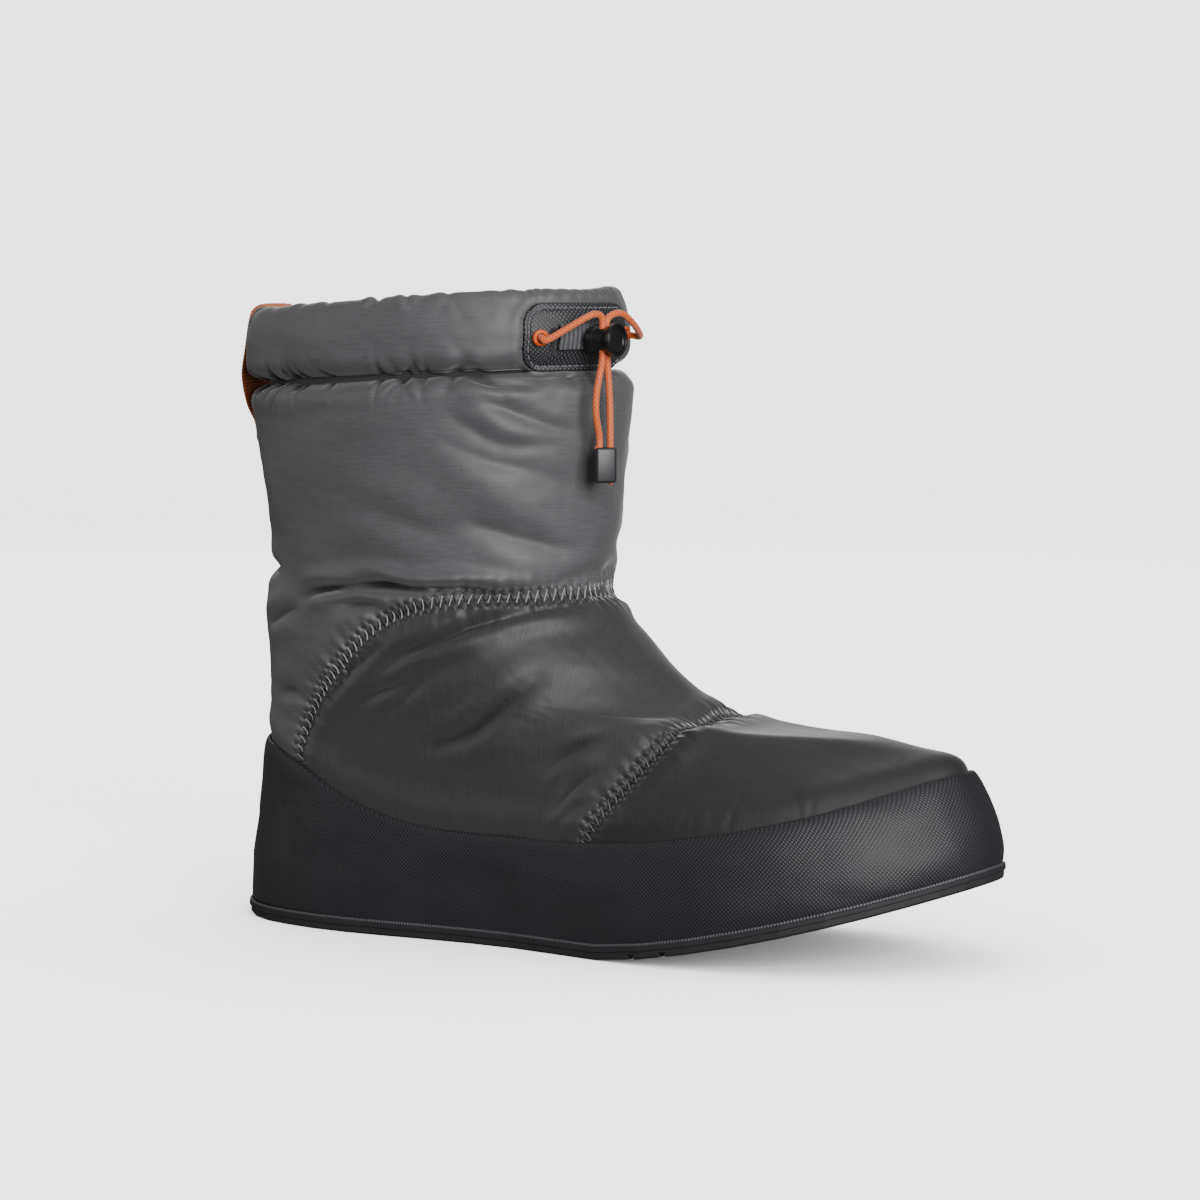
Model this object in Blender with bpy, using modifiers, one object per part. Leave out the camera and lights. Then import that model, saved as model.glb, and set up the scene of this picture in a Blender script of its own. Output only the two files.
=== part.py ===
"""Insulated drawcord bootie for the right foot, built as an assembly of separate named pieces.

Sizes are in metres. +X points to the toe, +Y to the big-toe side and +Z up. The upper is lofted
through rings that start flat at the feather line, where it meets the sole, tilt over the vamp and
end at the collar. Rand, patch, loop and insole take their shape from the same surface.
"""

import math
from collections import namedtuple

import bmesh
import bpy
import numpy as np
from mathutils import Matrix, Vector

# Upper: the last's main sizes, taken on the outside of the padded wall
LAST_LENGTH = 0.299
BALL_WIDTH = 0.104
WAIST_WIDTH = 0.072
HEEL_WIDTH = 0.070
INSTEP_HEIGHT = 0.130
COLLAR_HEIGHT = 0.236
SHAFT_DEPTH = 0.150
SHAFT_WIDTH = 0.112
WALL = 0.008
TOE_SWING = 0.006

# Sole and rand
TOE_SPRING = 0.030
SPRING_START = 0.165
SPRING_POWER = 1.4
PLATE_THICKNESS = 0.003
LUG_DEPTH = 0.002
LUG_PITCH = 0.013
GROOVE_WIDTH = 0.003
GROOVE_SWEEP = 0.010
SOLE_BORDER = 0.0065
VENT_REACH = 0.006
SOLE_LIP = 0.0007
SOLE_STEP = 0.0006
RAND_THICKNESS = 0.0030
RAND_EDGE = 0.00165
RAND_EDGE_START = 0.8
RAND_GAP = 0.00045
INSOLE_THICKNESS = 0.006
INSOLE_INSET = 0.0008

# Front patch, eyelets and drawcord
PATCH_WIDTH = 0.0535
PATCH_HEIGHT = 0.0250
PATCH_CORNER = 0.009
PATCH_THICKNESS = 0.0014
PATCH_ABOVE_SEAM = 0.0005
PATCH_OFF_CENTRE = 0.0172
EYELET_SPACING = 0.0412
EYELET_RADIUS = 0.0031
EYELET_RIM = 0.0008
EYELET_HOLE_DEPTH = 0.005
CORD_DIAMETER = 0.0025
CORD_SPREAD = 0.0032

# Cord lock: distances run from its base, out along its axis, which heads a little to the
# little-toe side of straight ahead
LOCK_HEADING = math.radians(-9)
LOCK_DROP = 0.0010
LOCK_OFF_CENTRE = 0.0022
LOCK_LENGTH = 0.0115
LOCK_BASE_RADIUS = 0.0050
LOCK_NECK_RADIUS = 0.0047
LOCK_FACE_RADIUS = 0.0062
LOCK_BASE_LENGTH = 0.0026
LOCK_FLOOR = 0.0010
LOCK_BORE_RADIUS = 0.0039
LOCK_HEAD_BORE_RADIUS = 0.0050
LOCK_HEAD_THICKNESS = 0.0020
LOCK_TRAVEL = 0.0013
LOCK_CORD_HEIGHT = 0.0055
LOCK_RUNNING_GAP = 0.0002
TAB_WIDTH = 0.0085
TAB_THICKNESS = 0.0014
TAB_LENGTH = 0.0062

# Cord end clip
CLIP_WIDTH = 0.0080
CLIP_HEIGHT = 0.0130
CLIP_DEPTH = 0.0050
CLIP_DROP = 0.0460
CLIP_HEADING = math.radians(-46)

# Pull loop at the back
LOOP_WIDTH = 0.020
LOOP_THICKNESS = 0.0016
LOOP_GAP = 0.0006
LOOP_BULGE = 0.0048
LOOP_FOOT_BELOW_SEAM = 0.015
LOOP_SEWN_LENGTH = 0.007
LOOP_INSIDE_LENGTH = 0.016

# Gap between pieces that touch
CLEARANCE = 0.0003

# Facets. Levels are ring numbers, and shares run up the rand's height.
COLUMNS = 48
PATCH_ROWS = 7
RIM_STEPS = 5
LINING_LEVELS = (14.3, 13.4, 12.4, 11.0, 9.5, 8.0, 6.5, 5.0, 3.5, 2.0, 1.0)
RAND_ROWS = (0.0, 0.2, 0.4, 0.6, 0.8, 0.92, 1.0)
LOCK_STEPS = 28
CORD_STEPS = 3
SOLE_TOP = PLATE_THICKNESS + LUG_DEPTH
FEATHER_HEIGHT = SOLE_TOP + CLEARANCE

# Stations along a ring, as shares of the way from its back to its front, and where the
# foot's middle line runs at them, as shares of the toe's swing
STATIONS = (0.03, 0.13, 0.40, 0.68, 0.88, 0.97)
CENTRE_LINE = ((0.0, 0.0), (0.40, -0.35), (0.68, 0.0), (0.88, 0.6), (1.0, 1.0))

# Rings of the foot. Heights are shares of the way from the feather line to the instep, x of the
# last's length, and half-widths of half the heel, waist or ball width. spring is the share of the
# toe spring that the ring follows, and wall the share of the padded wall's thickness.
FootRing = namedtuple(
    "FootRing",
    "back_z front_z spring back_x front_x heel_end heel waist ball toe toe_end swing wall",
)
FOOT_RINGS = (
    FootRing(0.000, 0.000, 1.00, 0.000, 1.000, 0.585, 0.970, 0.985, 0.990, 0.800, 0.404, 1.0, 0.80),
    FootRing(0.134, 0.092, 1.00, 0.003, 0.999, 0.600, 1.000, 1.010, 1.010, 0.820, 0.420, 1.0, 1.00),
    FootRing(0.326, 0.355, 0.60, 0.014, 0.972, 0.570, 0.970, 1.030, 0.952, 0.730, 0.346, 1.0, 1.00),
    FootRing(0.503, 0.500, 0.25, 0.019, 0.955, 0.570, 0.985, 1.140, 0.740, 0.430, 0.190, 1.0, 1.00),
    FootRing(0.679, 0.596, 0.00, 0.019, 0.855, 0.586, 1.030, 1.210, 0.690, 0.310, 0.154, 0.9, 1.00),
    FootRing(0.824, 0.620, 0.00, 0.023, 0.666, 0.600, 1.060, 1.280, 0.817, 0.520, 0.260, 0.6, 1.00),
    FootRing(0.936, 0.808, 0.00, 0.027, 0.561, 0.600, 1.070, 1.330, 0.904, 0.606, 0.308, 0.3, 1.00),
    FootRing(1.040, 1.000, 0.00, 0.041, 0.485, 0.530, 0.985, 1.320, 0.894, 0.625, 0.327, 0.1, 0.80),
)

# Rings of the shaft, which are ovals. Heights are shares of the way from the instep to the
# collar, x of the shaft's depth, and width of half its width.
ShaftRing = namedtuple("ShaftRing", "back_z front_z back_x front_x width wall")
SHAFT_RINGS = (
    ShaftRing(0.180, 0.155, 0.062, 0.992, 0.920, 1.00),
    ShaftRing(0.390, 0.390, 0.036, 1.006, 0.965, 1.00),
    ShaftRing(0.565, 0.585, 0.016, 1.024, 0.995, 1.00),
    ShaftRing(0.655, 0.700, 0.011, 1.026, 0.995, 0.95),
    ShaftRing(0.712, 0.780, 0.030, 0.992, 0.935, 0.50),
    ShaftRing(0.770, 0.845, 0.000, 1.010, 1.010, 1.05),
    ShaftRing(0.855, 0.930, -0.009, 1.016, 1.035, 1.30),
    ShaftRing(0.934, 1.020, 0.000, 1.000, 0.995, 1.15),
)
SEAM_RING = len(FOOT_RINGS) + 4
TOP_RING = len(FOOT_RINGS) + len(SHAFT_RINGS) - 1

# Where grooves run out through the sole's edge, as shares of the last's length
VENTS = ((0.63, 0.70), (0.81, 0.84))

# The rand's top edge: x as shares of the last's length, height as shares of the instep height
RAND_TOP = (
    (-0.02, 0.540),
    (0.04, 0.530),
    (0.10, 0.495),
    (0.14, 0.452),
    (0.21, 0.380),
    (0.30, 0.327),
    (0.42, 0.320),
    (0.52, 0.323),
    (0.63, 0.343),
    (0.73, 0.378),
    (0.82, 0.421),
    (0.91, 0.487),
    (0.97, 0.535),
    (1.02, 0.555),
)

Paint = namedtuple("Paint", "colour roughness metallic")
PAINTS = {
    "shaft_nylon": Paint("5B5C5E", 0.50, 0.0),
    "rand_fabric": Paint("29292C", 0.60, 0.0),
    "outsole_rubber": Paint("2B2B2E", 0.75, 0.0),
    "insole_foam": Paint("2A2A2C", 0.90, 0.0),
    "patch_nylon": Paint("232325", 0.65, 0.0),
    "orange_moulding": Paint("C8682F", 0.50, 0.0),
    "orange_cord": Paint("C8652C", 0.75, 0.0),
    "orange_webbing": Paint("A8502A", 0.80, 0.0),
    "grey_webbing": Paint("55575A", 0.75, 0.0),
    "black_plastic": Paint("1B1C1E", 0.40, 0.0),
}


def smooth(knots, values, at):
    """A smooth curve through values at the knots, level at both ends, read at each point of at."""
    knots = np.asarray(knots, float)
    values = np.asarray(values, float)
    at = np.clip(np.asarray(at, float), knots[0], knots[-1])
    slopes = np.zeros_like(values)
    run = (knots[2:] - knots[:-2]).reshape(-1, *[1] * (values.ndim - 1))
    slopes[1:-1] = (values[2:] - values[:-2]) / run
    i = np.clip(np.searchsorted(knots, at, side="right") - 1, 0, len(knots) - 2)
    width = knots[i + 1] - knots[i]
    t = (at - knots[i]) / width
    shape = t.shape + (1,) * (values.ndim - 1)
    t = t.reshape(shape)
    width = width.reshape(shape)
    return (
        (2 * t**3 - 3 * t**2 + 1) * values[i]
        + (t**3 - 2 * t**2 + t) * width * slopes[i]
        + (3 * t**2 - 2 * t**3) * values[i + 1]
        + (t**3 - t**2) * width * slopes[i + 1]
    )


def ring_table():
    """Every ring in metres: back z, front z, spring, back x, front x, six ovals, swing and wall."""
    round_off = 2 * np.sqrt(np.array(STATIONS) * (1 - np.array(STATIONS)))
    widths = np.array([HEEL_WIDTH, HEEL_WIDTH, WAIST_WIDTH, BALL_WIDTH, BALL_WIDTH, BALL_WIDTH]) / 2
    rise = INSTEP_HEIGHT - FEATHER_HEIGHT
    shaft_rise = COLLAR_HEIGHT - INSTEP_HEIGHT
    rows = []
    for r in FOOT_RINGS:
        shares = np.array([r.heel_end, r.heel, r.waist, r.ball, r.toe, r.toe_end])
        heights = [FEATHER_HEIGHT + r.back_z * rise, FEATHER_HEIGHT + r.front_z * rise]
        ends = [r.back_x * LAST_LENGTH, r.front_x * LAST_LENGTH]
        ovals = shares * widths / round_off
        rows.append([*heights, r.spring, *ends, *ovals, r.swing * TOE_SWING, r.wall * WALL])
    for r in SHAFT_RINGS:
        heights = [INSTEP_HEIGHT + r.back_z * shaft_rise, INSTEP_HEIGHT + r.front_z * shaft_rise]
        ends = [r.back_x * SHAFT_DEPTH, r.front_x * SHAFT_DEPTH]
        ovals = [r.width * SHAFT_WIDTH / 2] * len(STATIONS)
        rows.append([*heights, 0.0, *ends, *ovals, 0.0, r.wall * WALL])
    return np.array(rows)


RINGS = ring_table()
STATION_ANGLES = np.arccos(1 - 2 * np.array(STATIONS))


def toe_spring(x):
    """How far the sole has risen off the floor at x."""
    reach = np.clip((np.asarray(x) - SPRING_START) / (LAST_LENGTH - SPRING_START), 0, None)
    return TOE_SPRING * reach**SPRING_POWER


def surface(angle, level):
    """A point of the upper's outer face. angle runs from 0 at the back over the little-toe side
    to pi at the front, and on to 2 pi; level counts the rings from the feather line up."""
    angle, level = np.broadcast_arrays(np.asarray(angle, float), np.asarray(level, float))
    row = smooth(np.arange(len(RINGS)), RINGS, level)
    folded = np.pi - np.abs(np.pi - np.mod(angle, 2 * np.pi))
    share = smooth(STATION_ANGLES, np.eye(len(STATIONS)), folded)
    oval = (share * row[..., 5:11]).sum(-1)
    t = (1 - np.cos(angle)) / 2
    x = row[..., 3] + (row[..., 4] - row[..., 3]) * t
    centre = smooth(*zip(*CENTRE_LINE), t)
    y = row[..., 11] * centre - oval * np.sin(angle)
    z = row[..., 0] + (row[..., 1] - row[..., 0]) * t + row[..., 2] * toe_spring(x)
    return np.stack([x, y, z], -1)


def outward(angle, level):
    """The unit normal of the outer face, pointing out of the shoe."""
    step = 0.01
    up = surface(angle, np.minimum(np.asarray(level) + step, TOP_RING))
    up = up - surface(angle, np.maximum(np.asarray(level) - step, 0))
    along = surface(np.asarray(angle) + step, level) - surface(np.asarray(angle) - step, level)
    normal = np.cross(along, up)
    return normal / np.linalg.norm(normal, axis=-1, keepdims=True)


def offset_surface(angle, level, distance):
    """The outer face moved out by distance, or in where it is negative."""
    distance = np.asarray(distance, float)[..., None]
    return surface(angle, level) + outward(angle, level) * distance


def wall_at(level):
    """Thickness of the padded wall at a level."""
    return smooth(np.arange(len(RINGS)), RINGS[:, 12], level)


def over_rim(angle, turn, lift):
    """A point of the collar's rounded top edge, lift above it. turn runs from 0 where the outer
    face ends, over the top, to pi where the inner face starts."""
    outer = surface(angle, TOP_RING)
    inner = offset_surface(angle, TOP_RING, -wall_at(TOP_RING))
    inner[..., 2] = outer[..., 2]
    half = (outer - inner) / 2
    reach = np.linalg.norm(half, axis=-1, keepdims=True)
    point = (outer + inner) / 2 + half * (1 + lift / reach) * math.cos(turn)
    point[..., 2] += (wall_at(TOP_RING) / 2 + lift) * math.sin(turn)
    return point


def level_at_height(angle, height):
    """The level at which the outer face reaches a height, at one angle of the shaft."""
    levels = np.linspace(len(FOOT_RINGS), TOP_RING, 200)
    return np.interp(height, surface(angle, levels)[:, 2], levels)


def column_angles():
    return np.arange(COLUMNS) * 2 * np.pi / COLUMNS


def on_sole(ring):
    """A ring laid on the sole's top face, which rises with the toe spring."""
    laid = np.array(ring)
    laid[:, 2] = FEATHER_HEIGHT + toe_spring(laid[:, 0])
    return laid


def rand_level(angle):
    """The level at which the rand's top edge crosses each column, found by halving."""
    low = np.zeros_like(angle)
    high = np.full_like(angle, len(FOOT_RINGS) - 2.0)
    xs, heights = zip(*RAND_TOP)
    for _ in range(30):
        middle = (low + high) / 2
        point = surface(angle, middle)
        edge = smooth(xs, heights, point[:, 0] / LAST_LENGTH) * INSTEP_HEIGHT
        below = point[:, 2] < edge
        low = np.where(below, middle, low)
        high = np.where(below, high, middle)
    return low


def material(name):
    """A plain material with the piece's colour, roughness and metallic value."""
    found = bpy.data.materials.get(name)
    if found:
        return found
    paint = PAINTS[name]
    srgb = [int(paint.colour[i : i + 2], 16) / 255 for i in (0, 2, 4)]
    linear = [c / 12.92 if c <= 0.04045 else ((c + 0.055) / 1.055) ** 2.4 for c in srgb]
    made = bpy.data.materials.new(name)
    made.use_nodes = True
    shader = made.node_tree.nodes["Principled BSDF"]
    shader.inputs["Base Color"].default_value = (*linear, 1)
    shader.inputs["Roughness"].default_value = paint.roughness
    shader.inputs["Metallic"].default_value = paint.metallic
    made.diffuse_color = (*linear, 1)
    return made


def face_out(bm):
    """Turns every face of a closed mesh to the outside."""
    bmesh.ops.recalc_face_normals(bm, faces=bm.faces)
    if bm.calc_volume(signed=True) < 0:
        bmesh.ops.reverse_faces(bm, faces=bm.faces)


def add_object(name, bm, paint):
    """Turns a bmesh into a smooth-shaded object of the bootie."""
    face_out(bm)
    mesh = bpy.data.meshes.new(name)
    bm.to_mesh(mesh)
    bm.free()
    mesh.shade_smooth()
    mesh.set_sharp_from_angle(angle=math.radians(40))
    mesh.materials.append(material(paint))
    obj = bpy.data.objects.new(name, mesh)
    bootie.objects.link(obj)
    obj.parent = ground
    return obj


def loft(bm, rings, closed):
    """Joins rings of the same count side by side, and the last to the first where it is closed."""
    rows = [[bm.verts.new(p) for p in ring] for ring in rings]
    pairs = list(zip(rows, rows[1:] + rows[:1])) if closed else list(zip(rows, rows[1:]))
    for low, high in pairs:
        for i in range(len(low)):
            j = (i + 1) % len(low)
            bm.faces.new((low[i], low[j], high[j], high[i]))
    return rows


def cap_across(bm, row):
    """Closes a foot-shaped ring with strips from side to side, so that it can bend lengthwise."""
    half = len(row) // 2
    bm.faces.new((row[0], row[1], row[-1]))
    for i in range(1, half - 1):
        bm.faces.new((row[i], row[i + 1], row[-i - 1], row[-i]))
    bm.faces.new((row[half - 1], row[half], row[half + 1]))


def cut(obj, cutter):
    """Takes cutter out of obj with a Boolean."""
    step = obj.modifiers.new("cut_" + cutter.name, "BOOLEAN")
    step.operation = "DIFFERENCE"
    step.solver = "EXACT"
    step.object = cutter


def add_cutter(name, bm):
    """A closed mesh that only cuts."""
    face_out(bm)
    mesh = bpy.data.meshes.new(name)
    bm.to_mesh(mesh)
    bm.free()
    obj = bpy.data.objects.new(name, mesh)
    cutters.objects.link(obj)
    obj.parent = ground
    obj.hide_render = True
    obj.display_type = "WIRE"
    return obj


def frame_at(point, normal, up=(0, 0, 1)):
    """A placing with Z along normal, Y as near to up as it can be, and X across."""
    z = Vector(normal).normalized()
    x = Vector(up).cross(z).normalized()
    y = z.cross(x)
    placed = Matrix((x, y, z)).transposed().to_4x4()
    placed.translation = Vector(point)
    return placed


def build_upper():
    """Shaft, vamp and toe as one hollow padded wall, open at the collar and under the foot."""
    angles = column_angles()
    lower = np.arange(0.0, 3.0, 0.5)
    vamp = np.arange(3.0, len(FOOT_RINGS), 0.5)
    shaft = np.arange(len(FOOT_RINGS), SEAM_RING - 1, 0.5)
    collar = np.linspace(SEAM_RING - 1, TOP_RING, 13)
    outer_levels = np.concatenate([lower, vamp, shaft, collar])
    rings = [surface(angles, level) for level in outer_levels]
    for turn in np.linspace(0, math.pi, RIM_STEPS + 1)[1:]:
        rings.append(over_rim(angles, turn, 0.0))
    for level in LINING_LEVELS:
        rings.append(offset_surface(angles, level, -wall_at(level)))
    rings.append(on_sole(offset_surface(angles, 0.0, -wall_at(0.0))))
    bm = bmesh.new()
    loft(bm, rings, closed=True)
    upper = add_object("upper", bm, "shaft_nylon")
    for side in (-1, 1):
        cut(upper, eyelet_bore(side, -EYELET_HOLE_DEPTH, PATCH_THICKNESS))
    return upper


def build_rand():
    """The textured band that wraps the foot from the sole to a dipping top edge."""
    angles = column_angles()
    top = rand_level(angles)
    inner, outer = [], []
    for share in RAND_ROWS:
        level = top * share
        to_edge = max(0.0, (share - RAND_EDGE_START) / (1 - RAND_EDGE_START))
        thickness = RAND_THICKNESS - (RAND_THICKNESS - RAND_EDGE) * to_edge**2
        inner.append(offset_surface(angles, level, RAND_GAP))
        outer.append(offset_surface(angles, level, RAND_GAP + thickness))
    inner[0] = on_sole(inner[0])
    outer[0] = on_sole(outer[0])
    bm = bmesh.new()
    loft(bm, inner + outer[::-1], closed=True)
    return add_object("rand", bm, "rand_fabric")


def sole_ring(inset, height):
    """The sole's outline, drawn in by inset, at a height above the ground line of the toe spring."""
    reach = RAND_GAP + RAND_THICKNESS + SOLE_LIP - inset
    ring = surface(column_angles(), 0.0)
    normal = outward(column_angles(), 0.0)
    normal[:, 2] = 0
    ring = ring + normal / np.linalg.norm(normal, axis=1, keepdims=True) * reach
    ring[:, 2] = height + toe_spring(ring[:, 0])
    return ring


def build_outsole():
    """A thin rubber plate with a lip, a stepped side and chevron lugs, bent up at the toe."""
    bm = bmesh.new()
    rings = [
        sole_ring(0.0012, 0.0),
        sole_ring(SOLE_STEP, 0.0008),
        sole_ring(SOLE_STEP, SOLE_TOP * 0.55),
        sole_ring(0.0, SOLE_TOP * 0.62),
        sole_ring(0.0, SOLE_TOP - 0.0004),
        sole_ring(0.0004, SOLE_TOP),
    ]
    rows = loft(bm, rings, closed=False)
    cap_across(bm, rows[0])
    cap_across(bm, rows[-1])
    outsole = add_object("outsole", bm, "outsole_rubber")
    cut(outsole, lug_grooves())
    return outsole


def sole_edges(x):
    """y of the sole's edge at x, on the little-toe side and on the big-toe side."""
    ring = sole_ring(0.0, 0.0)
    half = COLUMNS // 2
    little = ring[: half + 1]
    big = np.vstack([ring[half:], ring[:1]])[::-1]
    return np.interp(x, little[:, 0], little[:, 1]), np.interp(x, big[:, 0], big[:, 1])


def lug_grooves():
    """Chevron grooves across the sole, each a bent bar that follows the toe spring. They stop
    short of the sole's edge, but for those that vent through it."""
    bm = bmesh.new()
    count = int(LAST_LENGTH / LUG_PITCH)
    first = (LAST_LENGTH - (count - 1) * LUG_PITCH) / 2
    for middle in first + LUG_PITCH * np.arange(count):
        vented = any(low < middle / LAST_LENGTH < high for low, high in VENTS)
        border = -VENT_REACH if vented else SOLE_BORDER
        rows = []
        for share in (-1.0, -0.5, 0.0, 0.5, 1.0):
            x = middle + GROOVE_SWEEP * (1 - abs(share)) - GROOVE_SWEEP / 2
            little, big = sole_edges(x)
            reach = (big - little) / 2 - border
            y = (little + big) / 2 + share * reach
            top = LUG_DEPTH + float(toe_spring(x))
            corners = []
            for dx, z in ((0, -LUG_DEPTH), (GROOVE_WIDTH, -LUG_DEPTH), (GROOVE_WIDTH, top), (0, top)):
                corners.append(bm.verts.new((x + dx - GROOVE_WIDTH / 2, y, z)))
            rows.append(corners)
        if rows[-1][0].co.y - rows[0][0].co.y < LUG_PITCH:
            bmesh.ops.delete(bm, geom=[v for row in rows for v in row], context="VERTS")
            continue
        for low, high in zip(rows, rows[1:]):
            for i in range(4):
                bm.faces.new((low[i], low[(i + 1) % 4], high[(i + 1) % 4], high[i]))
        bm.faces.new(rows[0])
        bm.faces.new(rows[-1])
    return add_cutter("lug_grooves", bm)


def build_insole():
    """A foam footbed inside the upper's lower edge."""
    angles = column_angles()
    low = on_sole(offset_surface(angles, 0.0, -wall_at(0.0) - INSOLE_INSET))
    top_level = 0.45
    high = offset_surface(angles, top_level, -wall_at(top_level) - INSOLE_INSET)
    high[:, 2] = FEATHER_HEIGHT + INSOLE_THICKNESS + toe_spring(high[:, 0])
    edge = low + (high - low) * 0.8
    soft = high + (high.mean(0) - high) * 0.02
    soft[:, 2] = high[:, 2]
    bm = bmesh.new()
    rows = loft(bm, [low, edge, soft], closed=False)
    cap_across(bm, rows[0])
    cap_across(bm, rows[-1])
    return add_object("insole", bm, "insole_foam")


def patch_point(across, up, distance):
    """A point and normal on the collar's front. across is measured along it from the patch's
    middle, positive to the big-toe side, and up along the front line from the patch's middle."""
    levels = np.linspace(SEAM_RING, TOP_RING, 120)
    line = surface(np.pi, levels)
    run = np.concatenate([[0], np.cumsum(np.linalg.norm(np.diff(line, axis=0), axis=1))])
    level = np.interp(up + PATCH_ABOVE_SEAM + PATCH_HEIGHT / 2, run, levels)
    turn = np.linspace(np.pi - 1.6, np.pi + 1.6, 241)
    ring = surface(turn, level)
    run = np.concatenate([[0], np.cumsum(np.linalg.norm(np.diff(ring, axis=0), axis=1))])
    angle = np.interp(across - PATCH_OFF_CENTRE + run[len(turn) // 2], run, turn)
    return offset_surface(angle, level, distance), outward(angle, level)


def collar_pad(name, columns, half_height, lift, thickness, paint):
    """A flat fabric piece that lies on the collar's front, lift above it. columns are distances
    along the collar from the patch's middle, and half_height gives half the height at each."""
    loops = []
    for across in columns:
        heights = np.linspace(-1, 1, PATCH_ROWS) * half_height(across)
        back = [patch_point(across, up, lift)[0] for up in heights]
        face = [patch_point(across, up, lift + thickness)[0] for up in heights]
        loops.append(back + face[::-1])
    bm = bmesh.new()
    rows = loft(bm, loops, closed=False)
    for row in (rows[0], rows[-1]):
        for i in range(PATCH_ROWS - 1):
            bm.faces.new((row[i], row[i + 1], row[-i - 2], row[-i - 1]))
    return add_object(name, bm, paint)


def patch_half_height(across):
    """Half the patch's height at a distance from its middle: it shrinks round the corners."""
    into_corner = max(0.0, abs(across) - (PATCH_WIDTH / 2 - PATCH_CORNER))
    rise = math.sqrt(max(0.0, PATCH_CORNER**2 - into_corner**2))
    return PATCH_HEIGHT / 2 - PATCH_CORNER + rise


def build_patch():
    """The stitched patch on the collar's front, which carries eyelets and cord lock."""
    straight = PATCH_WIDTH / 2 - PATCH_CORNER
    corner = straight + PATCH_CORNER * np.sin(np.radians((25, 50, 72, 90)))
    columns = np.concatenate([-corner[::-1], np.linspace(-straight, straight, 10), corner])
    patch = collar_pad(
        "collar_patch", columns, patch_half_height, CLEARANCE, PATCH_THICKNESS, "patch_nylon"
    )
    for side in (-1, 1):
        cut(patch, eyelet_bore(side, -PATCH_THICKNESS, 2 * PATCH_THICKNESS, "patch"))
    return patch


def build_tab():
    """The short webbing tab on the patch that holds the cord lock's base."""
    reach = np.linspace(-LOCK_BASE_RADIUS - TAB_LENGTH, LOCK_BASE_RADIUS, 6)
    columns = reach - LOCK_OFF_CENTRE
    return collar_pad(
        "lock_tab",
        columns,
        lambda across: TAB_WIDTH / 2,
        2 * CLEARANCE + PATCH_THICKNESS,
        TAB_THICKNESS,
        "grey_webbing",
    )


def eyelet_place(side):
    """Where an eyelet's middle sits on the patch's outer face, and the way it faces."""
    return patch_point(side * EYELET_SPACING / 2, 0.0, 2 * CLEARANCE + PATCH_THICKNESS)


def eyelet_bore(side, start, end, owner="upper"):
    """A cutter through an eyelet, from start to end along its normal, from the patch's back."""
    seat, normal = patch_point(side * EYELET_SPACING / 2, 0.0, CLEARANCE)
    bm = bmesh.new()
    radius = EYELET_RADIUS - EYELET_RIM
    bmesh.ops.create_cone(
        bm, cap_ends=True, segments=20, radius1=radius, radius2=radius, depth=end - start
    )
    bm.transform(frame_at(seat + normal * (start + end) / 2, normal))
    return add_cutter(f"{owner}_bore_{'medial' if side > 0 else 'lateral'}", bm)


def build_eyelets():
    """Two moulded rings on the patch, where the drawcord comes out."""
    made = []
    for side, word in ((-1, "lateral"), (1, "medial")):
        point, normal = eyelet_place(side)
        bpy.ops.mesh.primitive_torus_add(
            major_radius=EYELET_RADIUS,
            minor_radius=EYELET_RIM,
            major_segments=20,
            minor_segments=6,
        )
        ring = bpy.context.object
        ring.name = "eyelet_" + word
        ring.data.name = ring.name
        ring.data.materials.append(material("orange_moulding"))
        ring.data.shade_smooth()
        ring.users_collection[0].objects.unlink(ring)
        bootie.objects.link(ring)
        ring.parent = ground
        ring.matrix_local = frame_at(point + normal * EYELET_RIM, normal)
        made.append(ring)
    return made


def lock_frame():
    """The cord lock's place: its base on the tab, its axis level and out of the collar."""
    lift = 3 * CLEARANCE + PATCH_THICKNESS + TAB_THICKNESS
    point, normal = patch_point(-LOCK_OFF_CENTRE, -LOCK_DROP, lift)
    axis = Vector((math.cos(LOCK_HEADING), math.sin(LOCK_HEADING), 0))
    slant = axis.angle(Vector(normal))
    return frame_at(Vector(point) + axis * (LOCK_BASE_RADIUS * math.sin(slant)), axis)


def turned(name, profile, paint, steps=LOCK_STEPS):
    """A solid turned about its own Z from (radius, height) points, which run down its outside."""
    bm = bmesh.new()
    verts = [bm.verts.new((r, 0, z)) for r, z in profile]
    for a, b in zip(verts, verts[1:]):
        bm.edges.new((a, b))
    mesh = bpy.data.meshes.new(name)
    bm.to_mesh(mesh)
    bm.free()
    mesh.materials.append(material(paint))
    obj = bpy.data.objects.new(name, mesh)
    bootie.objects.link(obj)
    obj.parent = ground
    screw = obj.modifiers.new("turn", "SCREW")
    screw.steps = steps
    screw.render_steps = steps
    screw.use_merge_vertices = True
    screw.merge_threshold = 0.00001
    screw.use_smooth_shade = True
    return obj


def cord_slot(name, low, high, spread):
    """A cutter for the slot that both cords run through, from low to high along the lock's axis."""
    bm = bmesh.new()
    bmesh.ops.create_cube(bm, size=1)
    bmesh.ops.scale(bm, vec=(spread, 4 * LOCK_FACE_RADIUS, high - low), verts=bm.verts)
    bmesh.ops.translate(bm, vec=(0, 0, (low + high) / 2), verts=bm.verts)
    bm.transform(lock_frame())
    return add_cutter(name, bm)


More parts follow.
